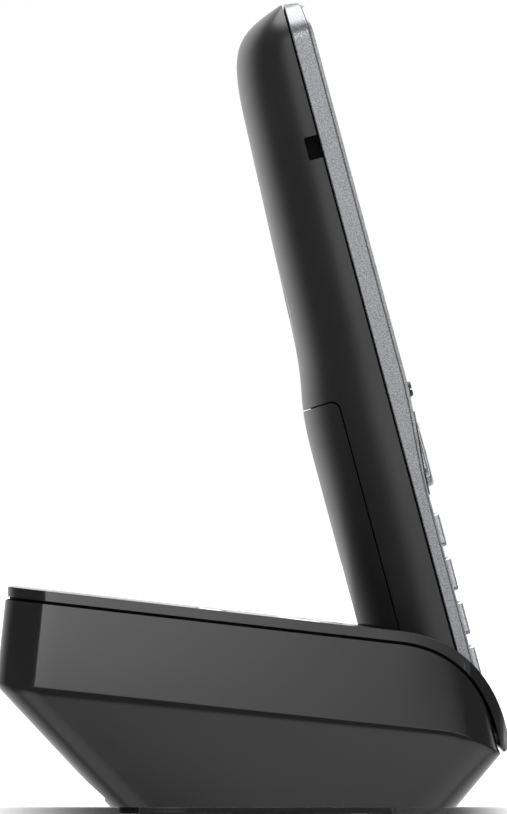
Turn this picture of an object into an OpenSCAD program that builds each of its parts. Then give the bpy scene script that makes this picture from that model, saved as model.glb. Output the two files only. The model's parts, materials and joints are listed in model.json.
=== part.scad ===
/* [Base station] */
// Overall width of the base
base_w = 132; // [128:1:150]
// Plan corner radius of the base
base_corner_r = 8; // [6:0.5:10]
// Slope of the top cover, in degrees
top_slope = 6.5; // [6.4:0.05:6.6]
// Thickness of the top cover plate
cover_t = 2.0; // [1.6:0.1:2.2]
// Visible gap between the top cover and the body
cover_gap = 0.65; // [0.5:0.05:0.8]
// Wall thickness of the base body
body_wall = 2.0; // [1.6:0.1:2.4]
// Height of the rubber feet
foot_h = 1.4; // [1.4:0.1:1.6]

/* [Handset] */
// Length of the handset
hs_len = 152; // [150:0.5:152]
// Width of the handset
hs_w = 50; // [48:0.5:51]
// Sideways place of the handset on the base
hs_x = 28; // [26:0.5:30]
// Backward lean of the handset, in degrees
hs_tilt = 15; // [14.8:0.1:15.2]
// Depth of the rear shell behind the parting line, lower part
hs_back = 17.7; // [17.4:0.1:17.9]
// Front face ahead of the parting line, display end
hs_front_top = 4.8; // [4.6:0.1:5]
// Front face ahead of the parting line, keypad end
hs_front_low = 3.1; // [3:0.1:3.2]
// Wall thickness of the handset shells
hs_wall = 1.8; // [1.5:0.1:2]
// Shadow gap between the silver frame and the rear shell
reveal = 0.35; // [0.3:0.05:0.5]

/* [Keys] */
// Number key width
key_w = 12; // [11:0.5:12.5]
// Number key height
key_h = 7.0; // [6.5:0.1:7.2]
// Pitch of the number key rows
key_pitch_z = 9.35; // [9.2:0.05:9.4]
// Pitch of the number key columns
key_pitch_x = 14.6; // [14.4:0.1:14.8]
// Front of the number keys ahead of the parting line
key_front = 4.15; // [4:0.05:4.3]
// Gap around every key
key_gap = 0.3; // [0.25:0.05:0.35]

/* [Cradle] */
// Clearance between the handset and the cradle well
well_clear = 0.6; // [0.5:0.05:0.7]
// Wall thickness of the cradle well
well_wall = 1.5; // [1.2:0.1:1.6]
// Sideways distance of each charging contact from the handset centre
contact_x = 12; // [10:0.5:13]

/* [Hidden] */
$fn = 40;
eps = 0.01;
far = 200;
seam = 0.15;

// ---- base outline, as depth (rear positive) and height ----
rear_top = [49.3, 45.9];
front_tip = [-51.6, 14.1];
bend_y = -29.8;
rear_max_y = 51.8;
plan_front_y = -51.6;
function cover_z(y) = rear_top.y - tan(top_slope) * (rear_top.x - y);
crease_tilt = 6.1;
crease_mid_z = 20.2;
side_lean = 6.7;
under_inset = 12;
crease_half_w = base_w / 2;
bottom_y = [-41, 29];

// ---- top surface layout, v is the distance forward from the rear edge ----
key_row_v = 60;
small_row_v = 41;
led_v = 30;
led_size = [6, 2.6];
speaker_v = 16;
panel_x = -32;
play_r = 8;
wide_key = [11, 7.5];
wide_key_x = 18;
small_key = [9, 5.5];
small_key_x = 20;
rocker_size = [22, 5.5];
base_key_r = 1;
base_key_rise = 0.3;
base_key_depth = 3.6;
base_key_flange = 0.8;
mat_v_depth = 4.6;
speaker_r = 13;
slot_pitch = 2.6;
slot_w = 1.2;
slot_reach = 10.95;

// ---- base internals ----
board_z = 20.2;
board_t = 1.6;
bay_x = [-50, -11];
bay_y = 30;
bay_top = 20.6;
bay_wall = 1.6;
line_x = -40.5;
power_x = -21;
jack_h = 12.6;
line_jack_w = 13.4;
power_jack_w = 10;
jack_depth = 15.5;
post_r = 3.1;
pilot_r = 1.15;
plate_t = 2;
seat_r = 3.2;
seat_depth = 1.25;
base_screw_len = 9.5;
well_post_h = 10.5;
board_screw_places = [[-8, -20], [-8, 10]];
main_parts = [[-20, -10], [-34, -24], [-30, 4]];
foot_x = 40;
rear_foot_y = 25.1;
front_foot_y = -33.4;
plate_half_w = 47;
posts = [[-43, -22], [-9, 17], [43, 17]];
well_post = [28, -30];
plate_y = [-39, 27.3];
rim_front_y = [-49.6, -33.5];
rim_rear_y = [48.0, 49.0];
skirt_y = [-32.5, 47.4];

// ---- handset outline, in its own frame: x across, y to the rear, z up from its bottom ----
hs_foot = [hs_x, -45.1, 17.9];
section_power = 2.6;
hs_r_top = 8;
hs_r_low = 6;
back_ref = 17.7;
step_top_z = hs_len - 79;
step_low_z = hs_len - 106;
key_row_z = hs_len - 112.05;
lens_z = 114;
lens_size = [39, 44];
ear_z = hs_len - 8.5;
ear_size = [16, 3];
receiver_z = hs_len - 9.8;
inlay_z = 92.7;
inlay_size = [20, 24.6];
cover_top_z = 71;
cover_side_y = 9.7;
notch_z = [119.6, 124.4];
notch_depth = 2.8;
notch_in = 2.0;
tongue_y = -1.0;
tongue_in = [1.15, 1.8];
ledge_in = [1.7, 2.7];
flange_y = [-1.6, -1.1];
mat_dome_y = -0.5;
mat_y = [0.5, 1.0];
board_y = [1.1, 2.3];
deck_t = 0.9;
partition_y = 3.4;
nav_z = 56;
nav_size = [21, 13.9];
nav_r = 5;
nav_open = 10;
nav_front = 5.0;
centre_front = 4.7;
stem_r = 2.5;
key_r = 1.8;
key_flange = 0.6;
side_key_size = [8.5, 9.7];
side_key_x = 16.2;
side_key_z = nav_z - 0.15;
side_key_r = 2;
side_front = 4.55;
plate_size = [43.5, 17.3];
plate_rise = 0.35;
soft_z = hs_len - 82.65;
soft_size = [12.5, 3.1];
soft_x = 12;
soft_r = 1.2;
soft_front = 5.44;
cell_x = 6;
cell_r = 5.2;
cell_len = 44.5;
cell_y = 10.15;
cell_z0 = 12;
pad_y = 5.4;
pad_half = [3, 2.8];
slit_half = [1.4, 2.6];
contact_r = 0.9;
well_floor_z = -3;
well_pocket_z = -1.4;
well_lip_z = 7.6;
hs_screw_places = [[-17, 64.2], [17, 64.2]];
hs_screw_r = 1.1;
screw_way_r = 2.8;
hs_parts = [[0, 82], [12, 112], [-12, 118]];

// ---- helper functions ----
function unit(v) = v / norm(v);
function bezier(a, b, c, d, n) = [for (i = [0:n]) let(t = i / n, s = 1 - t)
  s * s * s * a + 3 * s * s * t * b + 3 * s * t * t * c + t * t * t * d];
function reversed(p) = [for (i = [len(p) - 1:-1:0]) p[i]];
function edge_normal(a, b) = let(u = unit(b - a)) [-u.y, u.x];
// Moves an open path sideways, to its left for a positive distance.
function shifted(p, d) = let(n = len(p)) [for (i = [0:n - 1])
  let(u = edge_normal(p[max(i - 1, 0)], p[max(i, 1)]),
      v = edge_normal(p[min(i, n - 2)], p[min(i + 1, n - 1)]))
  p[i] + (u + v) * d / (1 + u * v)];
// Shrinks a closed counter-clockwise outline.
function inset(p, d) = let(n = len(p)) [for (i = [0:n - 1])
  let(u = edge_normal(p[(i + n - 1) % n], p[i]), v = edge_normal(p[i], p[(i + 1) % n]))
  p[i] + (u + v) * d / (1 + u * v)];
function super_half(a, b, n) = [for (i = [0:n]) let(t = 180 * i / n, c = cos(t), s = sin(t))
  [a * sign(c) * pow(abs(c), 2 / section_power), b * pow(abs(s), 2 / section_power)]];

// ---- outlines ----
cover_path = concat([rear_top], bezier([bend_y, cover_z(bend_y)],
  [bend_y - 13, cover_z(bend_y - 13)], [-49.8, 26.1], front_tip, 12));
cover_under = shifted(cover_path, cover_t);
body_top = shifted(cover_path, cover_t + cover_gap);
body_outline = concat([[bottom_y[0], foot_h], [bottom_y[1], foot_h], [40.4, 12.4],
  [51.3, 25.0], [rear_max_y, 27.7], [50.0, 43.2]],
  [for (i = [1:len(body_top) - 2]) body_top[i]],
  [[-49.0, 13.0], [-49.5, 11.4], [-47.0, 8.0]]);
front_path = concat([[hs_front_top - 0.9, hs_len - 0.6], [hs_front_top - 0.2, hs_len - 4],
  [hs_front_top, hs_len - 8]],
  [for (i = [0:6]) let(t = i / 6, s = (1 - cos(180 * t)) / 2)
    [hs_front_top + (hs_front_low - hs_front_top) * s, step_top_z + (step_low_z - step_top_z) * t]],
  [[hs_front_low, 0]]);
function band_front(d) = 0.35 + (d - hs_front_low) * 0.2;
back_path = concat([[0, hs_len - 0.2], [0.8, hs_len]],
  [for (p = bezier([0.8, 0], [10, 3], [12.6, 5], [13.3, 19], 9)) if (p.y > 0) [p.x, hs_len - p.y]],
  [for (p = bezier([15.1, 64], [15.7, 79.5], [back_ref, 76.5], [back_ref, 91], 6))
    [p.x * hs_back / back_ref, hs_len - p.y]],
  [[hs_back, 0]]);

// ---- frames ----
module across(w) { rotate([90, 0, 90]) linear_extrude(w, center = true) children(); }
module on_top(x, v) {
  translate([0, rear_top.x, rear_top.y]) rotate([top_slope, 0, 0]) translate([x, -v, 0]) children();
}
module in_handset() { translate(hs_foot) rotate([-hs_tilt, 0, 0]) children(); }
// Draws a front-view outline (x, z) and gives it depth from y0 to y1.
module facing(y0, y1) { translate([0, y1, 0]) rotate([90, 0, 0]) linear_extrude(y1 - y0) children(); }
module rounded(w, h, r) {
  square([w - 2 * r, h], center = true);
  square([w, h - 2 * r], center = true);
  for (x = [-1, 1], y = [-1, 1]) translate([x * (w / 2 - r), y * (h / 2 - r)]) circle(r);
}
module slab(x, y, z) { translate([x[0], y[0], z[0]]) cube([x[1] - x[0], y[1] - y[0], z[1] - z[0]]); }

// ---- base shapes ----
module plan(d) {
  mid_y = (rear_max_y + plan_front_y) / 2;
  translate([0, mid_y, -1]) linear_extrude(60)
    rounded(base_w - 2 * d, rear_max_y - plan_front_y - 2 * d, base_corner_r - d);
}
module flanks(d) {
  up = 30;
  down = 24;
  half = crease_half_w - d;
  under = under_inset / (crease_mid_z - foot_h) * down;
  translate([0, 0, crease_mid_z]) rotate([90 + crease_tilt, 0, 0])
    linear_extrude(far, center = true) polygon([
      [-half + under, -down], [half - under, -down], [half, 0],
      [half - up * tan(side_lean), up], [-half + up * tan(side_lean), up], [-half, 0]]);
}
module body_mass(d) {
  intersection() {
    across(base_w + 2) polygon(inset(body_outline, d));
    flanks(d);
    plan(d);
  }
}
module cover_mass(path) {
  intersection() {
    across(base_w + 2) polygon(path);
    flanks(0);
    plan(0);
  }
}
// The block that the cradle well is cut from, grown by g. It runs out through the front of the base.
module well_block(g) {
  wall = well_clear + well_wall + g;
  half = hs_w / 2 + wall;
  in_handset() translate([0, 0, well_floor_z - g]) linear_extrude(50)
    polygon(concat(super_half(half, hs_back + wall, 24), [[-half, -12], [half, -12]]));
}
module bay_space(g) { slab([bay_x[0] - g, bay_x[1] + g], [bay_y - g, far], [-2, bay_top + g]); }
module post(p, h) { translate([p.x, p.y, foot_h + plate_t]) cylinder(r = post_r, h = h); }
module drill(p, r, h) { translate([p.x, p.y, 0]) cylinder(r = r, h = h); }

// The rim inside the shadow gap under the cover, at the front and at the rear of the body.
module inner_rim() {
  top = shifted(cover_path, cover_t + 0.05);
  under = shifted(cover_path, cover_t + cover_gap + 0.2);
  intersection() {
    across(base_w + 2) polygon(concat(top, reversed(under)));
    flanks(1.2);
    plan(1.2);
    union() {
      slab([-far, far], rim_front_y, [13, 60]);
      slab([-far, far], rim_rear_y, [30, 60]);
    }
  }
}
module base_body_shell() {
  color("#1d1e20") difference() {
    union() {
      body_mass(0);
      inner_rim();
    }
    difference() {
      body_mass(body_wall);
      bay_space(bay_wall);
    }
    bay_space(0);
    intersection() {
      across(base_w) polygon([[-33, 26], [48.8, 30], [47.9, 44], [47.9, 60], [-33, 60]]);
      flanks(body_wall);
      plan(body_wall);
    }
    slab([-plate_half_w - 2 * seam, plate_half_w + 2 * seam],
      [plate_y[0] - 2 * seam, plate_y[1] + 2 * seam], [0, foot_h + body_wall + 1]);
    well_block(seam);
    jack_hole(line_x, line_jack_w);
    jack_hole(power_x, power_jack_w);
  }
}
module jack_hole(x, w) {
  half = w / 2 + seam;
  slab([x - half, x + half], [bay_y - bay_wall - 1, bay_y + 1], [board_z - jack_h - seam, board_z + seam]);
}
module screw_seat(p) {
  drill(p, pilot_r + 0.25, 6);
  drill(p, seat_r, foot_h + seat_depth);
}
module base_bottom_plate() {
  color("#202124") difference() {
    slab([-plate_half_w, plate_half_w], plate_y, [foot_h, foot_h + plate_t]);
    for (p = posts) screw_seat(p);
    screw_seat(well_post);
    for (i = [-2:2]) slab([panel_x + i * 5 - 1, panel_x + i * 5 + 1], [-12, 6], [0, 5]);
  }
}
module base_top_cover() {
  skirt = shifted(cover_path, cover_t + 2.5);
  color("#26272a") difference() {
    union() {
      cover_mass(concat(cover_path, [[-50.3, 12.6]], reversed(cover_under)));
      intersection() {
        across(base_w + 2) polygon(concat(cover_under, reversed(skirt)));
        slab([-far, far], skirt_y, [0, 60]);
        difference() {
          flanks(body_wall + 0.3);
          flanks(body_wall + 1.5);
        }
      }
      for (p = posts) post(p, cover_z(p.y) - cover_t / 2 - foot_h - plate_t);
    }
    well_block(seam);
    for (p = posts) drill(p, pilot_r, 14);
    on_top(panel_x, key_row_v) cylinder(r = play_r + key_gap, h = 8, center = true);
    for (s = [-1, 1]) on_top(panel_x + s * wide_key_x, key_row_v) key_block(wide_key, key_gap);
    for (s = [-1, 1]) on_top(panel_x + s * small_key_x, small_row_v) key_block(small_key, key_gap);
    on_top(panel_x, small_row_v) key_block(rocker_size, key_gap);
    on_top(panel_x, led_v) key_block(led_size, seam);
    for (i = [-4:4]) on_top(panel_x + i * slot_pitch, speaker_v) speaker_slot(i * slot_pitch);
  }
}
module speaker_slot(x) {
  half = sqrt(pow(slot_reach, 2) - pow(x, 2));
  slab([-slot_w / 2, slot_w / 2], [-half, half], [-4, 4]);
}
module key_block(size, g) {
  translate([0, 0, -4]) linear_extrude(8) rounded(size.x + 2 * g, size.y + 2 * g, base_key_r + g);
}
module well_section(g) {
  polygon(concat(super_half(hs_w / 2 + g, hs_back + g, 24),
    [[-hs_w / 2 - g, -hs_front_low - g], [hs_w / 2 + g, -hs_front_low - g]]));
}
module cradle_well() {
  color("#18191b") difference() {
    union() {
      intersection() {
        well_block(0);
        across(far) polygon(concat(cover_path, [[front_tip.x, 5], [rear_top.x, 5]]));
      }
      post(well_post, well_post_h);
    }
    in_handset() translate([0, 0, well_pocket_z]) linear_extrude(60) well_section(well_clear);
    in_handset() slab([-hs_w / 2 - well_clear, hs_w / 2 + well_clear], [-20, 0], [well_lip_z, 60]);
    for (s = [-1, 1]) in_handset() translate([s * contact_x, pad_y, 0])
      slab([-slit_half.x, slit_half.x], [-slit_half.y, slit_half.y], [-4, 0]);
    drill(well_post, pilot_r, foot_h + base_screw_len + 0.8);
  }
}
module base_main_board() {
  color("#1f6b3a") difference() {
    slab([-57, -3], [-38, bay_y - bay_wall - 0.6], [board_z, board_z + board_t]);
    for (p = posts) drill(p, post_r + 0.5, 40);
    for (p = board_screw_places) drill(p, 1.6, 40);
  }
  color("#303236") for (p = main_parts)
    slab([p.x - 5, p.x + 5], [p.y - 5, p.y + 5], [board_z + board_t, board_z + board_t + 1.4]);
}
module base_key_board() {
  color("#1f6b3a") difference() {
    on_top(panel_x, 0)
      slab([-28, 28], [-key_row_v - 8.5, -led_v + 3], [-mat_v_depth - 3.2, -mat_v_depth - 1.6]);
    for (p = posts) drill(p, post_r + 0.5, 60);
  }
}
module line_jack() {
  z0 = board_z - jack_h;
  color("#c9c9c4") difference() {
    slab([line_x - line_jack_w / 2, line_x + line_jack_w / 2], [bay_y - jack_depth, bay_y], [z0, board_z]);
    slab([line_x - 4.9, line_x + 4.9], [bay_y - 11, bay_y + 1], [z0 + 3.4, z0 + 10.2]);
    slab([line_x - 1.8, line_x + 1.8], [bay_y - 11, bay_y + 1], [z0 + 1.6, z0 + 4]);
  }
  color("gold") for (i = [-1.5:1:1.5]) slab([line_x + i * 1.02 - 0.2, line_x + i * 1.02 + 0.2],
    [bay_y - 9, bay_y - 3], [z0 + 9.4, z0 + 10.2]);
}
module power_jack() {
  zc = board_z - 5.6;
  color("#1b1b1d") difference() {
    slab([power_x - power_jack_w / 2, power_x + power_jack_w / 2],
      [bay_y - jack_depth, bay_y], [board_z - jack_h, board_z]);
    translate([power_x, bay_y + 1, zc]) rotate([90, 0, 0]) cylinder(r = 2.9, h = 11);
  }
  color("silver") translate([power_x, bay_y - 1.5, zc]) rotate([90, 0, 0])
    cylinder(r = 0.85, h = 8.5 + eps);
}
module base_speaker() {
  color("#3a3b3e") on_top(panel_x, speaker_v) {
    translate([0, 0, -cover_t - 3.2]) cylinder(r = speaker_r, h = 2.2);
    translate([0, 0, -cover_t - 6.2]) cylinder(r = 8.5, h = 3.1);
  }
}
module base_key_mat() {
  color("#5a5c60") on_top(panel_x, 0) {
    slab([-27, 27], [-key_row_v - 8, -small_row_v + 4.4], [-mat_v_depth - 1.6, -mat_v_depth - 0.6]);
    for (p = [[0, key_row_v], [-wide_key_x, key_row_v], [wide_key_x, key_row_v],
              [-small_key_x, small_row_v], [small_key_x, small_row_v],
              [-7, small_row_v], [7, small_row_v]])
      translate([p.x, -p.y, -mat_v_depth - 1]) cylinder(r1 = 2.6, r2 = 1.6, h = 1 + eps);
  }
}
module led_window() {
  color("#b5242a") on_top(panel_x, led_v) translate([0, 0, -3]) {
    linear_extrude(3) rounded(led_size.x, led_size.y, 1);
    linear_extrude(0.8) rounded(led_size.x + 2, led_size.y + 2, 1);
  }
}
module feet(places, w, h) {
  for (p = places) translate([p.x, p.y, 0]) linear_extrude(foot_h) rounded(w, h, 2);
}
module rear_feet() { color("#2b2b2d") feet([for (s = [-1, 1]) [s * foot_x, rear_foot_y]], 10, 4.2); }
module front_feet() { color("#8f9090") feet([for (s = [-1, 1]) [s * foot_x, front_foot_y]], 12, 10.8); }
module screw(h) {
  cylinder(r = 2.8, h = 1.2);
  cylinder(r = 1.1, h = h);
}
module base_screws() {
  color("#9a9ca0") {
    for (p = concat(posts, [well_post])) translate([p.x, p.y, foot_h + 0.02]) screw(base_screw_len);
  }
}
module charge_contact(side) {
  color("gold") in_handset() {
    translate([side * contact_x, pad_y, -1.2]) {
      slab([-0.8, 0.8], [-2, 2], [-4.8, 0]);
      rotate([0, 90, 0]) cylinder(r = contact_r, h = 1.6, center = true);
    }
  }
}
module charge_contact_left() { charge_contact(-1); }
module charge_contact_right() { charge_contact(1); }
// A base key: a cap with a hidden flange under the cover.
module base_key(x, v, size) {
  on_top(x, v) translate([0, 0, -base_key_depth]) {
    linear_extrude(base_key_depth + base_key_rise) rounded(size.x, size.y, base_key_r);
    linear_extrude(base_key_flange)
      rounded(size.x + 2 * base_key_flange, size.y + 2 * base_key_flange, base_key_r);
  }
}
module page_key() { color("#9fa2a6") base_key(panel_x + small_key_x, small_row_v, small_key); }
module erase_key() { color("#9fa2a6") base_key(panel_x - small_key_x, small_row_v, small_key); }
module back_key() { color("#9fa2a6") base_key(panel_x - wide_key_x, key_row_v, wide_key); }
module forward_key() { color("#9fa2a6") base_key(panel_x + wide_key_x, key_row_v, wide_key); }
module volume_rocker() { color("#9fa2a6") base_key(panel_x, small_row_v, rocker_size); }
module play_key() {
  color("#c4c6c9") on_top(panel_x, key_row_v) translate([0, 0, -base_key_depth]) {
    cylinder(r = play_r, h = base_key_depth + base_key_rise);
    cylinder(r = play_r + base_key_flange, h = base_key_flange);
  }
}

// ---- handset shapes ----
module hs_outline(d) {
  r_top = hs_r_top - d;
  r_low = hs_r_low - d;
  half = hs_w / 2 - d;
  translate([0, d]) {
    translate([-half, r_low]) square([2 * half, hs_len - 2 * d - r_low - r_top]);
    translate([-half + r_low, 0]) square([2 * (half - r_low), hs_len - 2 * d]);
    for (s = [-1, 1]) {
      translate([s * (half - r_low), r_low]) circle(r_low);
      translate([s * (half - r_top), hs_len - 2 * d - r_top]) circle(r_top);
    }
  }
}
// The rear half of the handset, shrunk by d on every outer side.
module rear_mass(d) {
  half = hs_w / 2 - d;
  side_view = concat([[0, 0]], reversed([for (p = shifted(back_path, -d)) [max(p.x, 0), p.y]]),
    d > 0 ? [[0, hs_len - d]] : []);
  intersection() {
    across(hs_w + 2) polygon(side_view);
    facing(0, 30) hs_outline(d);
    translate([0, 0, d]) linear_extrude(hs_len - 2 * d)
      polygon(concat(super_half(half, hs_back - d, 24), [[-half, -1], [half, -1]]));
  }
}
module grown(size, r, g) { rounded(size.x + 2 * g, size.y + 2 * g, r + g); }
// A slab that follows the front face, from the depth d0 to d1 behind the fascia's face.
module front_layer(d0, d1, w) {
  outer = [for (p = front_path) [-p.x + d0, p.y]];
  inner = [for (p = front_path) [-p.x + d1, p.y]];
  across(w) polygon(concat(outer, reversed(inner)));
}
module key_hole_shapes(g) {
  for (i = [0:11]) translate([key_col(i), key_row(i)]) grown([key_w, key_h], key_r, g);
  for (s = [-1, 1]) translate([s * soft_x, soft_z]) grown(soft_size, soft_r, g);
  translate([0, nav_z]) grown(nav_size, nav_r, g);
  for (s = [-1, 1]) translate([s * side_key_x, side_key_z]) grown(side_key_size, side_key_r, g);
}
function key_col(i) = (i % 3 - 1) * key_pitch_x;
function key_row(i) = key_row_z - floor(i / 3) * key_pitch_z;
module handset_rear_shell() {
  color("#1b1c1e") in_handset() difference() {
    union() {
      rear_mass(0);
      tongue();
    }
    difference() {
      rear_mass(hs_wall);
      slab([-far, far], [partition_y, partition_y + 1.4], [0, cover_top_z]);
      slab([-far, far], [partition_y, 40], [cover_top_z - 1.5, cover_top_z]);
      for (s = [-1, 1]) notch_space(s, notch_in + 1, 1);
    }
    slab([-far, far], [cover_side_y, 40], [-1, cover_top_z]);
    for (s = [-1, 1]) notch_space(s, notch_in, 0);
    facing(10, 30) inlay_oval(seam);
    for (s = [-1, 1]) translate([s * contact_x, pad_y, 0])
      slab([-pad_half.x - 0.2, pad_half.x + 0.2], [-pad_half.y - 0.2, pad_half.y + 0.2], [-1, 0.8]);
    for (p = hs_screw_places) translate([p.x, 8, p.y]) rotate([90, 0, 0])
      cylinder(r = hs_screw_r + 0.2, h = 6);
  }
  color("#1b1c1e") in_handset() bay_ledge();
  color("#1b1c1e") in_handset() intersection() {
    facing(10, 30) inlay_oval(1);
    difference() {
      rear_mass(1.2);
      rear_mass(2.2);
    }
  }
}
// The blind side notch, reaching d in from the side and grown by g in height and depth.
module notch_space(side, d, g) {
  slab([side * hs_w / 2 - d, side * hs_w / 2 + d], [0, notch_depth + g], [notch_z[0] - g, notch_z[1] + g]);
}
// The lip that stands into the silver frame and closes the shadow gap from inside.
module tongue() {
  difference() {
    facing(tongue_y, 0.5) hs_outline(tongue_in[0]);
    facing(tongue_y - 1, 1) hs_outline(tongue_in[1]);
  }
}
// The ledge under the battery cover's edge, and the wall above the battery bay.
module bay_ledge() {
  intersection() {
    rear_mass(ledge_in[0]);
    slab([-far, far], [cover_side_y - 1, 40], [cover_top_z - 1.6, cover_top_z + 1]);
  }
  intersection() {
    difference() {
      rear_mass(ledge_in[0]);
      rear_mass(ledge_in[1]);
    }
    slab([-far, far], [cover_side_y - 1, cover_side_y + 1.2], [3, cover_top_z]);
  }
}
module inlay_oval(g) {
  a = inlay_size.x / 2 + g;
  b = inlay_size.y / 2 + g;
  polygon([for (t = [0:15:345]) [a * cos(t), inlay_z + b * sin(t)]]);
}
module battery_cover() {
  color("#1d1e20") in_handset() intersection() {
    difference() {
      rear_mass(0);
      rear_mass(hs_wall - 0.3);
    }
    slab([-far, far], [cover_side_y + 0.2, 40], [-1, cover_top_z - 0.35]);
  }
}
module rear_inlay() {
  color("#3c3e42") in_handset() intersection() {
    facing(10, 30) inlay_oval(0);
    difference() {
      rear_mass(0);
      rear_mass(1.1);
    }
  }
}
module behind_front(d) {
  across(far) polygon(concat([for (p = front_path) [-p.x + band_front(p.x) + d, p.y]],
    [[5, 0], [5, hs_len], [-reveal, hs_len]]));
}
module handset_front_frame() {
  color("#a5a7ab") in_handset() difference() {
    union() {
      difference() {
        intersection() {
          facing(-10, -reveal) hs_outline(0);
          behind_front(0);
        }
        facing(tongue_y - 0.2, 2) hs_outline(tongue_in[0] - 0.15);
        intersection() {
          facing(-10, 2) hs_outline(hs_wall);
          behind_front(deck_t);
        }
      }
      for (p = hs_screw_places) translate([p.x, -3.2, p.y]) rotate([-90, 0, 0])
        cylinder(r = 2.3, h = 4.1);
    }
    for (p = hs_screw_places) translate([p.x, -1.8, p.y]) rotate([-90, 0, 0])
      cylinder(r = hs_screw_r, h = 4.1);
    facing(-10, 2) key_hole_shapes(key_gap);
    facing(-10, 2) lens_shape(-1.5);
    facing(-10, 2) translate([0, ear_z]) square([ear_size.x - 2, ear_size.y - 1], center = true);
  }
}
module handset_fascia() {
  color("#8b8d91") in_handset() difference() {
    intersection() {
      facing(-10, 0) hs_outline(1);
      across(hs_w) polygon(concat([for (p = front_path) [-p.x, p.y]],
        reversed([for (p = front_path) [-p.x + band_front(p.x), p.y]])));
    }
    facing(-10, 2) key_hole_shapes(key_gap);
    facing(-10, 2) lens_shape(0.1);
    facing(-10, 2) translate([0, ear_z]) grown(ear_size, 1.4, 0.1);
  }
}
module lens_shape(g) {
  translate([0, lens_z]) square([lens_size.x + 2 * g, lens_size.y + 2 * g], center = true);
}
module display_lens() {
  color("#0c0d10") in_handset() facing(-hs_front_top, -hs_front_top + 0.65) lens_shape(0);
}
module display_module() {
  color("#5f7f74") in_handset() facing(-2.9, -0.2) lens_shape(-1);
}
module earpiece_grille() {
  color("#2a2b2e") in_handset() difference() {
    facing(-hs_front_top + 0.15, -hs_front_top + 0.65) translate([0, ear_z]) grown(ear_size, 1.4, 0);
    facing(-10, 2) for (i = [-2:2]) translate([i * slot_pitch, ear_z]) square([1.4, 1.2], center = true);
  }
}
module earpiece_receiver() {
  color("#3a3b3e") in_handset() translate([0, -2.7, receiver_z]) rotate([-90, 0, 0])
    cylinder(r = 6.5, h = 3.2);
}
module handsfree_speaker() {
  color("#3a3b3e") in_handset() translate([0, 8.2, inlay_z]) rotate([-90, 0, 0]) {
    cylinder(r = 9, h = 3.6);
    translate([0, 0, -2.4]) cylinder(r = 6, h = 2.4 + eps);
  }
}
module microphone() {
  color("#6a6c70") in_handset() translate([0, -0.7, 5.2]) rotate([-90, 0, 0]) cylinder(r = 2, h = 1.6);
}
module handset_board() {
  color("#1f6b3a") in_handset() difference() {
    facing(board_y[0], board_y[1]) translate([0, 76]) rounded(hs_w - 2 * hs_wall - 3, 138, 3);
    screw_ways(screw_way_r);
  }
  color("#303236") in_handset() for (p = hs_parts)
    facing(board_y[1], board_y[1] + 1.2) translate(p) square([9, 9], center = true);
}
module screw_ways(r) {
  for (p = hs_screw_places) translate([p.x, 30, p.y]) rotate([90, 0, 0]) cylinder(r = r, h = 60);
}
module handset_key_mat() {
  color("#74767a") in_handset() {
    difference() {
      facing(mat_y[0], mat_y[1]) translate([0, 39.6]) rounded(44, 64, 3);
      screw_ways(screw_way_r);
    }
    for (p = mat_dome_places) translate([p.x, mat_dome_y, p.y]) rotate([-90, 0, 0])
      cylinder(r1 = 1.8, r2 = 2.6, h = 1 + eps);
  }
}
mat_dome_places = concat([for (i = [0:11]) [key_col(i), key_row(i)]],
  [for (s = [-1, 1]) [s * soft_x, soft_z]], [for (s = [-1, 1]) [s * side_key_x, nav_z]], [[0, nav_z]]);
module key_plate() {
  color("#3a3c3f") in_handset() difference() {
    intersection() {
      facing(-10, 0) translate([0, nav_z + 0.05]) rounded(plate_size.x, plate_size.y, nav_r);
      front_layer(-plate_rise, 0, far);
    }
    facing(-10, 2) key_hole_shapes(key_gap);
  }
}
module battery_cells() {
  color("#3f7f4a") in_handset() for (s = [-1, 1]) translate([s * cell_x, cell_y, cell_z0]) {
    cylinder(r = cell_r, h = cell_len - 1);
    cylinder(r = 2, h = cell_len);
  }
}
module battery_contacts() {
  color("silver") in_handset() for (z = [cell_z0 - 2.2, cell_z0 + cell_len + 1.2]) {
    slab([-11, 11], [partition_y + 1.5, cell_y + 3], [z, z + 0.5]);
  }
  color("silver") in_handset() for (s = [-1, 1]) translate([s * cell_x, cell_y - 1, cell_z0 - 1.7])
    cylinder(r1 = 3, r2 = 1.6, h = 1.6);
}
module charge_pads() {
  color("gold") in_handset() for (s = [-1, 1]) translate([s * contact_x, pad_y, 0])
    slab([-pad_half.x, pad_half.x], [-pad_half.y, pad_half.y], [0.05, 0.7]);
}
module handset_screws() {
  color("#9a9ca0") in_handset() for (p = hs_screw_places) translate([p.x, 0, p.y]) rotate([-90, 0, 0]) {
    translate([0, 0, -1.6]) cylinder(r = hs_screw_r, h = partition_y + 3.5);
    translate([0, 0, partition_y + 1.4]) cylinder(r = 2.2, h = 1.2);
  }
}
module key_cap(size, r, front) {
  facing(-front, flange_y[1]) rounded(size.x, size.y, r);
  facing(flange_y[0], flange_y[1]) rounded(size.x + 2 * key_flange, size.y + 2 * key_flange, r);
}
module number_key(i) {
  color("#c9cbd0") in_handset() translate([key_col(i), 0, key_row(i)])
    key_cap([key_w, key_h], key_r, key_front);
}
module key_1() { number_key(0); }
module key_2() { number_key(1); }
module key_3() { number_key(2); }
module key_4() { number_key(3); }
module key_5() { number_key(4); }
module key_6() { number_key(5); }
module key_7() { number_key(6); }
module key_8() { number_key(7); }
module key_9() { number_key(8); }
module key_star() { number_key(9); }
module key_0() { number_key(10); }
module key_hash() { number_key(11); }
module soft_key(side) {
  color("#3a3b3e") in_handset() translate([side * soft_x, 0, soft_z]) difference() {
    key_cap(soft_size, soft_r, soft_front);
    slab([-far, far], [-soft_front - 1, -soft_front + 0.35], [-0.25, 0.15]);
  }
}
module soft_key_left() { soft_key(-1); }
module soft_key_right() { soft_key(1); }
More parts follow.
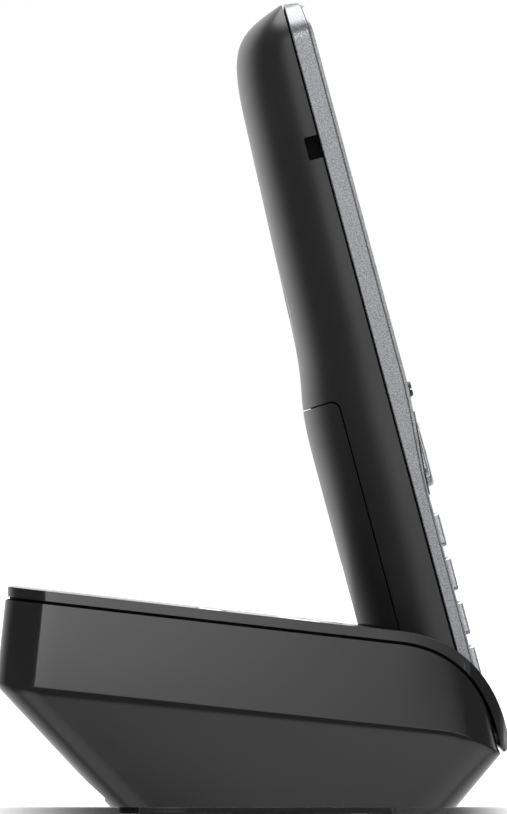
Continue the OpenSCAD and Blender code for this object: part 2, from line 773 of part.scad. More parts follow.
module side_key(side) {
  color("#c9cbd0") in_handset() translate([side * side_key_x, 0, side_key_z])
    key_cap(side_key_size, side_key_r, side_front);
}
module talk_key() { side_key(-1); }
module off_key() { side_key(1); }
module nav_pivot() {
  color("#8b8d91") in_handset() difference() {
    facing(-0.6, 0.0) translate([0, nav_z]) rounded(nav_size.x - 4, nav_size.y - 3, 3);
    facing(-2, 2) translate([0, nav_z]) circle(d = 6.4);
  }
}
module nav_ring() {
  color("#a9abaf") in_handset() difference() {
    facing(-nav_front, flange_y[1]) translate([0, nav_z]) rounded(nav_size.x, nav_size.y, nav_r);
    facing(-6, 2) translate([0, nav_z]) circle(d = nav_open);
  }
}
module nav_centre() {
  color("#c9cbd0") in_handset() {
    facing(-centre_front, flange_y[0]) translate([0, nav_z]) circle(d = nav_open - 2 * key_gap - 0.8);
    facing(flange_y[0] - eps, -0.95) translate([0, nav_z]) circle(stem_r);
  }
}

base_body_shell();
base_bottom_plate();
base_top_cover();
cradle_well();
base_main_board();
base_key_board();
line_jack();
power_jack();
base_speaker();
base_key_mat();
led_window();
rear_feet();
front_feet();
base_screws();
charge_contact_left();
charge_contact_right();
page_key();
play_key();
back_key();
forward_key();
erase_key();
volume_rocker();
handset_rear_shell();
handset_front_frame();
handset_fascia();
display_lens();
display_module();
earpiece_grille();
earpiece_receiver();
handsfree_speaker();
rear_inlay();
handset_board();
handset_key_mat();
key_plate();
battery_cover();
battery_cells();
battery_contacts();
charge_pads();
handset_screws();
microphone();
key_1();
key_2();
key_3();
key_4();
key_5();
key_6();
key_7();
key_8();
key_9();
key_star();
key_0();
key_hash();
soft_key_left();
soft_key_right();
talk_key();
off_key();
nav_pivot();
nav_ring();
nav_centre();
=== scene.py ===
"""Cordless phone with base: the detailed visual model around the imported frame.

Outlines are in millimetres. The handset is built in its own frame (x across, y to the rear of its
parting line, z up from its bottom end) and the top cover's fittings in the frame of the sloping top.
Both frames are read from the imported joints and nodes.
"""

import json
import math

import bmesh
import bpy
from mathutils import Matrix, Vector


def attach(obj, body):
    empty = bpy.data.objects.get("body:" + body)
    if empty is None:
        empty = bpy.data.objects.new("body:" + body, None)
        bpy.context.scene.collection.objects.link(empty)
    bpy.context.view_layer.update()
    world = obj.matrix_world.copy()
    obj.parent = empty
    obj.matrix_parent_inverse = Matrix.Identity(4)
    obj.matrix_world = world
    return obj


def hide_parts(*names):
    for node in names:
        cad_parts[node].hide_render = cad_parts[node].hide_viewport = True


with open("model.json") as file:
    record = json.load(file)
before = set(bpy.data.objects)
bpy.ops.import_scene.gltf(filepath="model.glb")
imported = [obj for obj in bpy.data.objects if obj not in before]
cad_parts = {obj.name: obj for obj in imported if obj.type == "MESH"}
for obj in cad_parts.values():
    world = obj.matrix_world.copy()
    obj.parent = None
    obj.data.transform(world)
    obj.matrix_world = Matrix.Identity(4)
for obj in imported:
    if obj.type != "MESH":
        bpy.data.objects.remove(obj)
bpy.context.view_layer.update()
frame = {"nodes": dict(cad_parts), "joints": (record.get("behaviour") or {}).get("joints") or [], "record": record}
MM = 0.001


# ---------------------------------------------------------------- frames of reference
def joint_axis(name):
    joint = next(j for j in frame["joints"] if j["name"] == name)
    return Vector(joint["axis"])


def local_box(node, matrix):
    """Box of a CAD node in millimetres, in the frame whose matrix (metres) is given."""
    back = matrix.inverted()
    points = [back @ v.co for v in frame["nodes"][node].data.vertices]
    low = Vector([min(p[i] for p in points) for i in range(3)]) / MM
    high = Vector([max(p[i] for p in points) for i in range(3)]) / MM
    return low, high


lift = joint_axis("handset_lift")
hs_turn = Matrix.Rotation(-math.atan2(lift.y, lift.z), 4, "X")
shell_low, shell_high = local_box("handset_rear_shell", hs_turn)
HS_X = (shell_low.x + shell_high.x) / 2
HS_BACK = 17.7
hs_foot = Vector((HS_X, local_box("battery_cover", hs_turn)[1].y - HS_BACK, shell_low.z)) * MM
HANDSET = hs_turn @ Matrix.Translation(hs_foot)
HS_W = shell_high.x - shell_low.x
HS_LEN = shell_high.z - shell_low.z

slope = math.atan2(joint_axis("play_key_press").y, -joint_axis("play_key_press").z)
top_turn = Matrix.Rotation(slope, 4, "X")
cover_high = local_box("base_top_cover", top_turn)[1]
TOP = top_turn @ Matrix.Translation(Vector((0, cover_high.y, cover_high.z)) * MM)
WORLD = Matrix.Identity(4)

body_low, body_high = local_box("base_body_shell", WORLD)
lid_low, lid_high = local_box("base_top_cover", WORLD)
BASE_HALF = body_high.x
FOOT_H = body_low.z
SHELL_T = 2.0
COVER_T = 2.0
COVER_GAP = 0.65
CREASE_SLOPE = 0.1065
CREASE_MID_Z = 20.5
REAR_TOP = (lid_high.y, lid_high.z)
FRONT_TIP = (lid_low.y, 14.1)
RIM_HALF = 64.2
COVER_HALF = 64.3
SIDE_LEAN = 0.1175
REVEAL = 0.35
EDGE_LOW = 1.5
EDGE_HIGH = 1.0
GAP = 0.15


# ---------------------------------------------------------------- outlines (plain 2-D points)
def bezier(a, b, c, d, count):
    points = []
    for i in range(count + 1):
        t = i / count
        s = 1 - t
        weights = (s ** 3, 3 * s * s * t, 3 * s * t * t, t ** 3)
        points.append(tuple(sum(w * p[k] for w, p in zip(weights, (a, b, c, d))) for k in (0, 1)))
    return points


def shifted(path, distance):
    """An open path moved sideways, to its left for a positive distance."""
    result = []
    for i, point in enumerate(path):
        here = Vector(point)
        before = Vector(path[max(i - 1, 0)])
        after = Vector(path[min(i + 1, len(path) - 1)])
        one = (here - before).normalized() if i else (after - here).normalized()
        two = (after - here).normalized() if i < len(path) - 1 else one
        n1 = Vector((-one.y, one.x))
        n2 = Vector((-two.y, two.x))
        result.append(tuple(here + (n1 + n2) * distance / (1 + one.dot(two))))
    return result


def rounded_rect(w, h, radius, cx=0.0, cy=0.0, steps=8):
    """Counter-clockwise outline; radius is one value or four, from the lower right corner round."""
    radii = radius if isinstance(radius, (tuple, list)) else (radius,) * 4
    corners = ((1, -1, -90), (1, 1, 0), (-1, 1, 90), (-1, -1, 180))
    points = []
    for (sx, sy, start), r in zip(corners, radii):
        for i in range(steps + 1):
            a = math.radians(start + 90 * i / steps)
            x = cx + sx * (w / 2 - r) + r * math.cos(a)
            y = cy + sy * (h / 2 - r) + r * math.sin(a)
            points.append((x, y))
    return points


def ellipse(w, h, cx=0.0, cy=0.0, steps=48):
    angles = [2 * math.pi * i / steps for i in range(steps)]
    return [(cx + w / 2 * math.cos(a), cy + h / 2 * math.sin(a)) for a in angles]


def super_half(half_w, depth, steps, power=2.6):
    """Half of a rounded cross-section, from +x over the rear to -x."""
    points = []
    for i in range(steps + 1):
        a = math.pi * i / steps
        c = math.cos(a)
        s = max(math.sin(a), 0.0)
        points.append((half_w * math.copysign(abs(c) ** (2 / power), c), depth * s ** (2 / power)))
    return points


def value_at(path, key, k=0):
    """The other coordinate of a path where coordinate k is key."""
    rows = sorted(path, key=lambda p: p[k])
    if key <= rows[0][k]:
        return rows[0][1 - k]
    for low, high in zip(rows, rows[1:]):
        if key <= high[k]:
            t = (key - low[k]) / max(high[k] - low[k], 1e-9)
            return low[1 - k] + (high[1 - k] - low[1 - k]) * t
    return rows[-1][1 - k]


# ---------------------------------------------------------------- mesh making
def new_object(name, bm, matrix=WORLD):
    """Turns a bmesh in millimetres into an object in metres, in the row frame."""
    bmesh.ops.recalc_face_normals(bm, faces=bm.faces)
    mesh = bpy.data.meshes.new(name)
    bm.to_mesh(mesh)
    bm.free()
    mesh.transform(matrix @ Matrix.Scale(MM, 4))
    obj = bpy.data.objects.new(name, mesh)
    bpy.context.scene.collection.objects.link(obj)
    return obj


def loft(name, rings, matrix=WORLD, closed=True, caps=True):
    """A skin over rings of 3-D points; each ring has the same number of points."""
    bm = bmesh.new()
    rows = [[bm.verts.new(p) for p in ring] for ring in rings]
    count = len(rows[0])
    for low, high in zip(rows, rows[1:]):
        for i in range(count if closed else count - 1):
            j = (i + 1) % count
            bm.faces.new((low[i], low[j], high[j], high[i]))
    if caps:
        bm.faces.new(rows[0][::-1])
        bm.faces.new(rows[-1])
    return new_object(name, bm, matrix)


PLANES = {
    "x": lambda a, b, c: (c, a, b),
    "y": lambda a, b, c: (a, c, b),
    "z": lambda a, b, c: (a, b, c),
}


def prism(name, outline, axis, low, high, matrix=WORLD):
    """A straight prism: outline in the plane across the axis, from low to high along it."""
    place = PLANES[axis]
    rings = [[place(a, b, c) for a, b in outline] for c in (low, high)]
    return loft(name, rings, matrix)


def domed(name, outline, axis, low, high, round_r, crown, matrix=WORLD, steps=4):
    """A prism whose end at high has a rounded edge and a slightly crowned face."""
    place = PLANES[axis]
    mid_a = sum(p[0] for p in outline) / len(outline)
    mid_b = sum(p[1] for p in outline) / len(outline)
    wa = max(p[0] for p in outline) - mid_a
    wb = max(p[1] for p in outline) - mid_b
    reach = min(wa, wb)
    side = 1 if high > low else -1
    levels = [(0.0, low), (0.0, high - side * (round_r + crown))]
    for i in range(1, steps + 1):
        a = math.pi / 2 * i / steps
        levels.append((round_r * (1 - math.cos(a)), high - side * (round_r * (1 - math.sin(a)) + crown)))
    for share in (0.35, 0.7, 0.9):
        pull = round_r + (reach - round_r) * share
        levels.append((pull, high - side * crown * (1 - share) ** 2))
    rings = []
    for pull, level in levels:
        ring = []
        for a, b in outline:
            new_a = mid_a + (a - mid_a) * (wa - pull) / wa
            new_b = mid_b + (b - mid_b) * (wb - pull) / wb
            ring.append(place(new_a, new_b, level))
        rings.append(ring)
    return loft(name, rings, matrix)


def settle(obj):
    """Replaces the mesh by what its modifiers make of it."""
    depsgraph = bpy.context.evaluated_depsgraph_get()
    mesh = bpy.data.meshes.new_from_object(obj.evaluated_get(depsgraph))
    obj.modifiers.clear()
    obj.data = mesh
    return obj


def combine(obj, others, operation="DIFFERENCE"):
    for other in others:
        mod = obj.modifiers.new("combine", "BOOLEAN")
        mod.operation = operation
        mod.solver = "EXACT"
        mod.object = other
    settle(obj)
    for other in others:
        bpy.data.objects.remove(other)
    return obj


def cut(obj, *others):
    return combine(obj, others, "DIFFERENCE")


def keep(obj, *others):
    return combine(obj, others, "INTERSECT")


def join(obj, *others):
    return combine(obj, others, "UNION")


def tidy(obj, merge=0.004):
    """Welds points that a boolean left nearly on each other."""
    bm = bmesh.new()
    bm.from_mesh(obj.data)
    bmesh.ops.remove_doubles(bm, verts=bm.verts, dist=merge * MM)
    bmesh.ops.dissolve_degenerate(bm, edges=bm.edges, dist=merge * MM / 2)
    bm.to_mesh(obj.data)
    bm.free()
    return obj


def bevel(obj, width, segments=2, angle=32):
    tidy(obj)
    mod = obj.modifiers.new("bevel", "BEVEL")
    mod.width = width * MM
    mod.segments = segments
    mod.limit_method = "ANGLE"
    mod.angle_limit = math.radians(angle)
    mod.use_clamp_overlap = True
    mod.miter_outer = "MITER_ARC"
    return settle(obj)


def dress(obj, material, slot, body, *nodes, angle=35):
    """Gives a piece its finish, its body and the CAD nodes that it stands for."""
    obj.data.materials.clear()
    obj.data.materials.append(material)
    obj.data.shade_smooth()
    obj.data.set_sharp_from_angle(angle=math.radians(angle))
    mod = obj.modifiers.new("even_normals", "WEIGHTED_NORMAL")
    mod.keep_sharp = True
    settle(obj)
    if nodes:
        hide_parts(*nodes)
    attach(obj, body)
    return obj


# ---------------------------------------------------------------- materials
class Maker:
    """Short-hand for building one node material."""

    def __init__(self, name):
        self.material = bpy.data.materials.new(name)
        self.material.use_nodes = True
        self.tree = self.material.node_tree
        self.shader = self.tree.nodes["Principled BSDF"]
        self.coords = self.add("ShaderNodeTexCoord")

    def add(self, kind, **values):
        node = self.tree.nodes.new(kind)
        for key, value in values.items():
            if hasattr(node, key) and key not in node.inputs:
                setattr(node, key, value)
            else:
                node.inputs[key].default_value = value
        return node

    def link(self, a, b):
        self.tree.links.new(a, b)

    def set(self, **values):
        for key, value in values.items():
            self.shader.inputs[key.replace("_", " ")].default_value = value

    def noise(self, scale, detail=2.0, rough=0.5):
        node = self.add("ShaderNodeTexNoise")
        node.inputs["Scale"].default_value = scale
        node.inputs["Detail"].default_value = detail
        node.inputs["Roughness"].default_value = rough
        self.link(self.coords.outputs["Object"], node.inputs["Vector"])
        return node.outputs["Fac"]

    def ramp(self, source, low, high, start=0.3, end=0.7):
        node = self.add("ShaderNodeMapRange")
        node.inputs["From Min"].default_value = start
        node.inputs["From Max"].default_value = end
        node.inputs["To Min"].default_value = low
        node.inputs["To Max"].default_value = high
        self.link(source, node.inputs["Value"])
        return node.outputs["Result"]

    def tint(self, source, dark, light, start=0.3, end=0.7):
        node = self.add("ShaderNodeValToRGB")
        node.color_ramp.elements[0].position = start
        node.color_ramp.elements[0].color = (*dark, 1)
        node.color_ramp.elements[1].position = end
        node.color_ramp.elements[1].color = (*light, 1)
        self.link(source, node.inputs["Fac"])
        self.link(node.outputs["Color"], self.shader.inputs["Base Color"])

    def bump(self, source, strength, distance):
        node = self.add("ShaderNodeBump")
        node.inputs["Strength"].default_value = strength
        node.inputs["Distance"].default_value = distance
        self.link(source, node.inputs["Height"])
        self.link(node.outputs["Normal"], self.shader.inputs["Normal"])


def plastic(name, color, roughness, grain=0.0, grain_scale=2500, coat=0.0, spread=0.05, spec=0.5):
    """Moulded plastic: cloudy roughness from handling, and a fine eroded grain if it is textured."""
    m = Maker(name)
    dark = tuple(c * 0.92 for c in color)
    light = tuple(min(c * 1.08, 1) for c in color)
    m.tint(m.noise(60, 3), dark, light)
    m.link(m.ramp(m.noise(35, 4), roughness - spread, roughness + spread), m.shader.inputs["Roughness"])
    m.shader.inputs["Specular IOR Level"].default_value = spec
    m.shader.inputs["Coat Weight"].default_value = coat
    m.shader.inputs["Coat Roughness"].default_value = 0.06
    m.bump(m.noise(grain_scale, 2), 0.12 + grain, 0.00002 if grain else 0.000004)
    return m.material


def metal_paint(name, color, roughness=0.38, flake=1.0):
    """Silver lacquer with fine metallic flakes."""
    m = Maker(name)
    dark = tuple(c * (1 - 0.14 * flake) for c in color)
    light = tuple(min(c * (1 + 0.1 * flake), 1) for c in color)
    m.tint(m.noise(3200, 2, 0.7), dark, light, 0.38, 0.62)
    m.link(m.ramp(m.noise(2600, 1), roughness - 0.08, roughness + 0.08), m.shader.inputs["Roughness"])
    m.shader.inputs["Metallic"].default_value = 0.75
    m.shader.inputs["Coat Weight"].default_value = 0.25
    m.shader.inputs["Coat Roughness"].default_value = 0.12
    m.bump(m.noise(3000, 2), 0.25 * flake, 0.000015)
    return m.material


def bare_metal(name, color, roughness=0.28):
    m = Maker(name)
    m.tint(m.noise(300, 3), tuple(c * 0.85 for c in color), color)
    m.link(m.ramp(m.noise(900, 2), roughness - 0.08, roughness + 0.1), m.shader.inputs["Roughness"])
    m.shader.inputs["Metallic"].default_value = 1.0
    m.bump(m.noise(1500, 2), 0.2, 0.00001)
    return m.material


def rubber(name, color):
    m = Maker(name)
    m.tint(m.noise(250, 4), tuple(c * 0.8 for c in color), color)
    m.link(m.ramp(m.noise(120, 3), 0.62, 0.8), m.shader.inputs["Roughness"])
    m.bump(m.noise(1800, 3), 0.35, 0.00004)
    return m.material


def circuit_board(name):
    """Green solder mask over fine copper tracks."""
    m = Maker(name)
    tracks = m.add("ShaderNodeTexBrick")
    tracks.inputs["Scale"].default_value = 260
    tracks.inputs["Mortar Size"].default_value = 0.05
    tracks.inputs["Color1"].default_value = (0.02, 0.13, 0.055, 1)
    tracks.inputs["Color2"].default_value = (0.025, 0.17, 0.07, 1)
    tracks.inputs["Mortar"].default_value = (0.05, 0.26, 0.11, 1)
    m.link(m.coords.outputs["Object"], tracks.inputs["Vector"])
    m.link(tracks.outputs["Color"], m.shader.inputs["Base Color"])
    m.link(m.ramp(m.noise(200), 0.3, 0.45), m.shader.inputs["Roughness"])
    return m.material


def lamp_plastic(name, color):
    m = Maker(name)
    m.tint(m.noise(400, 2), tuple(c * 0.7 for c in color), color)
    m.link(m.ramp(m.noise(100), 0.12, 0.2), m.shader.inputs["Roughness"])
    m.shader.inputs["Transmission Weight"].default_value = 0.35
    return m.material


FINISH = {
    "gloss_black_base": plastic("gloss_black_base", (0.0105, 0.0105, 0.0112), 0.13, spread=0.02),
    "top_cover_black": plastic("top_cover_black", (0.0105, 0.0105, 0.0115), 0.15, spread=0.02),
    "satin_black": plastic("satin_black", (0.014, 0.014, 0.0152), 0.42, 0.3, 1900),
    "handset_black": plastic("handset_black", (0.0135, 0.0135, 0.0142), 0.33, 0.12, 2600,
                             spread=0.03, spec=0.75),
    "silver_paint": metal_paint("silver_paint", (0.27, 0.273, 0.287), 0.27, 0.35),
    "silver_fascia": metal_paint("silver_fascia", (0.36, 0.365, 0.375), 0.34, 0.5),
    "key_silver": metal_paint("key_silver", (0.52, 0.53, 0.555), 0.3, 0.15),
    "key_dark": plastic("key_dark", (0.03, 0.031, 0.034), 0.3, 0.1),
    "nav_metal": metal_paint("nav_metal", (0.36, 0.365, 0.38), 0.26, 0.15),
    "lens_black": plastic("lens_black", (0.006, 0.0065, 0.008), 0.07, coat=0.6, spread=0.02),
    "display_grey": plastic("display_grey", (0.22, 0.27, 0.25), 0.3),
    "led_red": lamp_plastic("led_red", (0.5, 0.03, 0.035)),
    "rubber_dark": rubber("rubber_dark", (0.022, 0.022, 0.022)),
    "rubber_clear": rubber("rubber_clear", (0.6, 0.6, 0.61)),
    "rubber_mat": rubber("rubber_mat", (0.14, 0.145, 0.155)),
    "board_green": circuit_board("board_green"),
    "jack_ivory": plastic("jack_ivory", (0.55, 0.55, 0.5), 0.45, 0.2),
    "steel": bare_metal("steel", (0.55, 0.56, 0.58)),
    "gold_contact": bare_metal("gold_contact", (0.78, 0.58, 0.24), 0.22),
    "cell_wrap": plastic("cell_wrap", (0.06, 0.24, 0.11), 0.3),
    "speaker_body": plastic("speaker_body", (0.045, 0.047, 0.05), 0.5, 0.2),
}
LEGEND = plastic("legend_ink", (0.012, 0.012, 0.014), 0.5)
# Near-black, nearly lustreless plastic used as painted shade: lips, ledges and sheets in gaps and recesses wear it
# so they read dark, darker than the plastics they belong to.
SHADE_BLACK = plastic("painted_shade_black", (0.0022, 0.0022, 0.0022), 0.7, spec=0.12)
INLAY_GREY = plastic("inlay_grey", (0.07, 0.071, 0.074), 0.3, 0.1)
SLOT_OF = {part["node"]: part["material_slot"] for part in frame["record"]["subparts"]}


def dress_cad_nodes():
    for name, obj in frame["nodes"].items():
        obj.data.materials.clear()
        obj.data.materials.append(FINISH[SLOT_OF[name]])


# ---------------------------------------------------------------- base
def cover_z(y):
    return REAR_TOP[1] - math.tan(slope) * (REAR_TOP[0] - y)


BEND_Y = -29.8
COVER_PATH = [REAR_TOP] + bezier((BEND_Y, cover_z(BEND_Y)), (BEND_Y - 13, cover_z(BEND_Y - 13)),
                                 (-49.8, 26.1), FRONT_TIP, 40)
RIM_PATH = shifted(COVER_PATH, COVER_T + COVER_GAP)


def crease_z(y):
    """Height of the line round the body where the upper sides meet the undercut lower ones."""
    drop = max(-38.0 - y, 0.0)
    return CREASE_MID_Z + CREASE_SLOPE * y - 0.0216 * drop * drop


def plan_ring(half_w, y_front, y_rear, r_front, r_rear, height, corner=14, sides=36):
    """One level round the base: height(y) gives its z, and half_w is one width along the whole level."""
    points = []
    span = (y_front + r_front, y_rear - r_rear)
    shares = [1 - math.cos(math.pi / 2 * i / sides) for i in range(1, sides)]
    stations = [span[0] + (span[1] - span[0]) * share for share in shares]
    for y in stations:
        points.append((half_w, y))
    corners = ((1, y_rear - r_rear, r_rear, 0), (-1, y_rear - r_rear, r_rear, 90))
    for sx, cy, r, start in corners:
        for i in range(corner + 1):
            a = math.radians(start + 90 * i / corner)
            points.append((sx * (half_w - r) + r * math.cos(a), cy + r * math.sin(a)))
    for y in reversed(stations):
        points.append((-half_w, y))
    corners = ((-1, y_front + r_front, r_front, 180), (1, y_front + r_front, r_front, 270))
    for sx, cy, r, start in corners:
        for i in range(corner + 1):
            a = math.radians(start + 90 * i / corner)
            points.append((sx * (half_w - r) + r * math.cos(a), cy + r * math.sin(a)))
    return [(x, y, height(y)) for x, y in points]


def blend_rings(low, high, t):
    """A level part of the way between two rings."""
    return [tuple(Vector(p).lerp(Vector(q), t)) for p, q in zip(low, high)]


def rim_z(y):
    """Height of the body's rim, under the cover."""
    return value_at(RIM_PATH, y)


def base_rings(inset):
    """Levels of the body from its bottom to its rim, shrunk sideways by inset."""
    bottom = plan_ring(54.0 - inset, -41.0 + inset, 29.0 - inset, 9.0, 8.5, lambda y: FOOT_H)
    crease = plan_ring(BASE_HALF - inset, -49.75 + inset, body_high.y - inset, 7.0, 8.0, crease_z)
    rim = plan_ring(RIM_HALF - inset, -49.1 + inset, 50.0 - inset, 7.0, 8.0, rim_z)
    below = blend_rings(bottom, crease, 1 - EDGE_LOW / 22.3)
    above = blend_rings(crease, rim, EDGE_HIGH / 24.0)
    turn = []
    for i in range(1, 8):
        t = i / 8
        turn.append(blend_rings(blend_rings(below, crease, t), blend_rings(crease, above, t), t))
    lower = [bottom, blend_rings(bottom, crease, 0.5), below]
    upper = [above, blend_rings(crease, rim, 0.5), rim]
    return lower + turn + upper


def body_mass(name, inset, rise):
    """The base body's outer form shrunk by inset, with its rim raised by rise."""
    rings = base_rings(inset)
    if inset >= SHELL_T:
        rings[0] = [(x, y, FOOT_H + SHELL_T) for x, y, z in rings[0]]
    if rise:
        rings.append([(x, y, z + rise) for x, y, z in rings[-1]])
    return loft(name, rings)


def rim_lip():
    """The inner rim that closes the shadow gap under the cover from behind."""
    top = shifted(COVER_PATH, COVER_T + 0.05)
    under = shifted(COVER_PATH, COVER_T + COVER_GAP + 0.4)
    lip = across("base_rim_lip", top + under[::-1])
    keep(lip, body_mass("lip_outside", 0.9, 4.0))
    return cut(lip, body_mass("lip_inside", 2.3, 8.0))


def across(name, outline, half=80.0):
    return prism(name, outline, "x", -half, half)


WELL_CLEAR = 0.6
WELL_WALL = 1.5


def well_outline(grow):
    """Outline, across the handset, of the block that the cradle well fills."""
    wall = WELL_CLEAR + WELL_WALL + grow
    half = HS_W / 2 + wall
    return super_half(half, HS_BACK + wall, 48) + [(-half, -14.0), (half, -14.0)]


def well_block(name, grow):
    return prism(name, well_outline(grow), "z", -3.0 - grow, 60.0, HANDSET)


def box_outline(low_a, high_a, low_b, high_b):
    return [(low_a, low_b), (high_a, low_b), (high_a, high_b), (low_a, high_b)]


def node_hole(node, name, grow, matrix, axis, low, high, radius):
    """A rounded cutter round a node, grown by a gap, along one axis of a local frame."""
    a, b = {"x": (1, 2), "y": (0, 2), "z": (0, 1)}[axis]
    n_low, n_high = local_box(node, matrix)
    outline = rounded_rect(n_high[a] - n_low[a] + 2 * grow, n_high[b] - n_low[b] + 2 * grow, radius + grow,
                           (n_high[a] + n_low[a]) / 2, (n_high[b] + n_low[b]) / 2)
    return prism(name, outline, axis, low, high, matrix)


def base_body():
    outer = body_mass("base_body_shell_skin", 0.0, 0.0)
    inner = body_mass("inner", SHELL_T, 8.0)
    low, high = BAY
    wall = 1.6
    walls = box_outline(low.x - wall, high.x + wall, low.y - wall, 70.0)
    cut(inner, prism("bay_wall", walls, "z", -3.0, high.z + wall))
    bay = prism("bay", box_outline(low.x, high.x, low.y, 70.0), "z", -3.0, high.z)
    cutters = [inner, bay, well_block("well_gap", GAP)]
    p_low, p_high = local_box("base_bottom_plate", WORLD)
    floor = box_outline(p_low.x - 2 * GAP, p_high.x + 2 * GAP, p_low.y - 2 * GAP, p_high.y + 2 * GAP)
    cutters.append(prism("floor_hole", floor, "z", -3.0, FOOT_H + SHELL_T + 1))
    for node in ("line_jack", "power_jack"):
        j_low, j_high = local_box(node, WORLD)
        mouth = box_outline(j_low.x - GAP, j_high.x + GAP, j_low.z - GAP, j_high.z + GAP)
        cutters.append(prism("jack_hole", mouth, "y", low.y - 3, low.y + 1))
    cut(outer, *cutters)
    bevel(outer, 0.25, 2, 50)
    dress(outer, FINISH["gloss_black_base"], "gloss_black_base", "base", "base_body_shell", angle=28)
    lip = cut(rim_lip(), well_block("well_gap", GAP))
    # the lip is dressed near-black as painted shade, so the gap under the cover reads dark
    dress(lip, SHADE_BLACK, "satin_black", "base")


def cover_plan():
    """The cover's sides: upright below the rim, leaning with the body's sides above it."""
    top_half = COVER_HALF - (COVER_T + COVER_GAP + 2.0) * SIDE_LEAN
    levels = (
        (COVER_HALF, lambda y: -5.0),
        (COVER_HALF, lambda y: rim_z(y) - 1.0),
        (top_half, lambda y: value_at(COVER_PATH, y) + 1.0),
        (top_half, lambda y: 60.0),
    )
    return loft("plan", [plan_ring(half, FRONT_TIP[0], REAR_TOP[0], 9.0, 8.0, z) for half, z in levels])


KEY_GAP = 0.3
BASE_FLANGE = 0.8


def base_cover():
    under = shifted(COVER_PATH, COVER_T)
    lid = across("base_top_cover_skin", COVER_PATH + [(-50.9, 12.9), (-50.3, 12.6)] + under[::-1])
    keep(lid, cover_plan())
    bevel(lid, 0.5, 3, 40)
    cutters = [well_block("well_gap", 0.12)]
    for node in ("page_key", "erase_key", "back_key", "forward_key", "volume_rocker"):
        cutters.append(node_hole(node, "hole", KEY_GAP - BASE_FLANGE, TOP, "z", -6, 6, 1.8))
    low, high = local_box("play_key", TOP)
    size = high.x - low.x + 2 * (KEY_GAP - BASE_FLANGE)
    play = ellipse(size, size, (low.x + high.x) / 2, (low.y + high.y) / 2)
    cutters.append(prism("hole", play, "z", -6, 6, TOP))
    cutters.append(node_hole("led_window", "hole", 0.12 - 1, TOP, "z", -6, 6, 2.0))
    cutters += speaker_slots()
    cut(lid, *cutters)
    bevel(lid, 0.22, 2, 50)
    dress(lid, FINISH["top_cover_black"], "top_cover_black", "base", "base_top_cover", angle=30)


def speaker_slots():
    low, high = local_box("base_speaker", TOP)
    mid = ((low.x + high.x) / 2, (low.y + high.y) / 2)
    pitch = 2.6
    reach_squared = 120
    slots = []
    for i in range(-4, 5):
        x = pitch * i
        half = math.sqrt(reach_squared - x * x)
        slots.append(prism("slot", rounded_rect(1.2, 2 * half, 0.55, mid[0] + x, mid[1]), "z", -6, 6, TOP))
    return slots


def cradle_well():
    """The insert that the handset stands in, flush with the cover at its rim and front lip."""
    well = across("cradle_well_skin", COVER_PATH + [(FRONT_TIP[0], 5.0), (REAR_TOP[0], 5.0)])
    keep(well, well_block("block", 0.0))
    half = HS_W / 2 + WELL_CLEAR
    front = -FRONT_LOW - WELL_CLEAR
    pocket = super_half(half, HS_BACK + WELL_CLEAR, 48) + [(-half, front), (half, front)]
    cutters = [prism("pocket", pocket, "z", -1.4, 60, HANDSET)]
    cutters.append(prism("key_room", box_outline(-half, half, -20, 0), "z", 7.6, 60, HANDSET))
    for node in ("charge_contact_left", "charge_contact_right"):
        low, high = local_box(node, HANDSET)
        slit = box_outline(low.x - 0.6, high.x + 0.6, low.y - 0.6, high.y + 0.6)
        cutters.append(prism("slit", slit, "z", -5, 0, HANDSET))
    cut(well, *cutters)
    bevel(well, 0.3, 2, 45)
    dress(well, FINISH["top_cover_black"], "satin_black", "base", "cradle_well", angle=30)


def base_key_outline(node, w, h, mid):
    return ellipse(w, h, *mid) if node == "play_key" else rounded_rect(w, h, 1.0, *mid)


def base_keys():
    for node in ("page_key", "erase_key", "back_key", "forward_key", "volume_rocker", "play_key"):
        low, high = local_box(node, TOP)
        wide, long = high.x - low.x, high.y - low.y
        mid = ((low.x + high.x) / 2, (low.y + high.y) / 2)
        outline = base_key_outline(node, wide - 2 * BASE_FLANGE, long - 2 * BASE_FLANGE, mid)
        key = domed(node + "_cap", outline, "z", low.z, high.z, 0.45, 0.12, TOP)
        flange = base_key_outline(node, wide, long, mid)
        join(key, prism("flange", flange, "z", low.z, low.z + BASE_FLANGE, TOP))
        dress(key, FINISH["key_silver"], "key_silver", node + "_body", node)
        key_symbol(node, mid, high.z)


def triangle(x, y, size, turn=1):
    back = x - turn * size * 0.45
    return [(back, y - size * 0.55), (x + turn * size * 0.55, y), (back, y + size * 0.55)]


def key_symbol(node, mid, top):
    """Plain symbols printed on the message keys."""
    x, y = mid
    shapes = {
        "play_key": [triangle(x, y, 4.2)],
        "back_key": [triangle(x - 1.2, y, 2.4, -1), triangle(x + 1.2, y, 2.4, -1)],
        "forward_key": [triangle(x - 1.2, y, 2.4), triangle(x + 1.2, y, 2.4)],
        "erase_key": [box_outline(x - 1.5, x + 1.5, y - 0.25, y + 0.25)],
        "page_key": [ellipse(2.0, 2.0, x, y, 20)],
        "volume_rocker": [box_outline(x - 8.2, x - 6.0, y - 0.25, y + 0.25),
                          box_outline(x + 6.0, x + 8.2, y - 0.25, y + 0.25),
                          box_outline(x + 6.85, x + 7.35, y - 1.1, y + 1.1)],
    }[node]
    marks = [prism(node + "_mark", s, "z", top - 0.16, top + 0.005, TOP) for s in shapes]
    mark = marks[0]
    if len(marks) > 1:
        join(mark, *marks[1:])
    dress(mark, LEGEND, SLOT_OF[node], node + "_body")


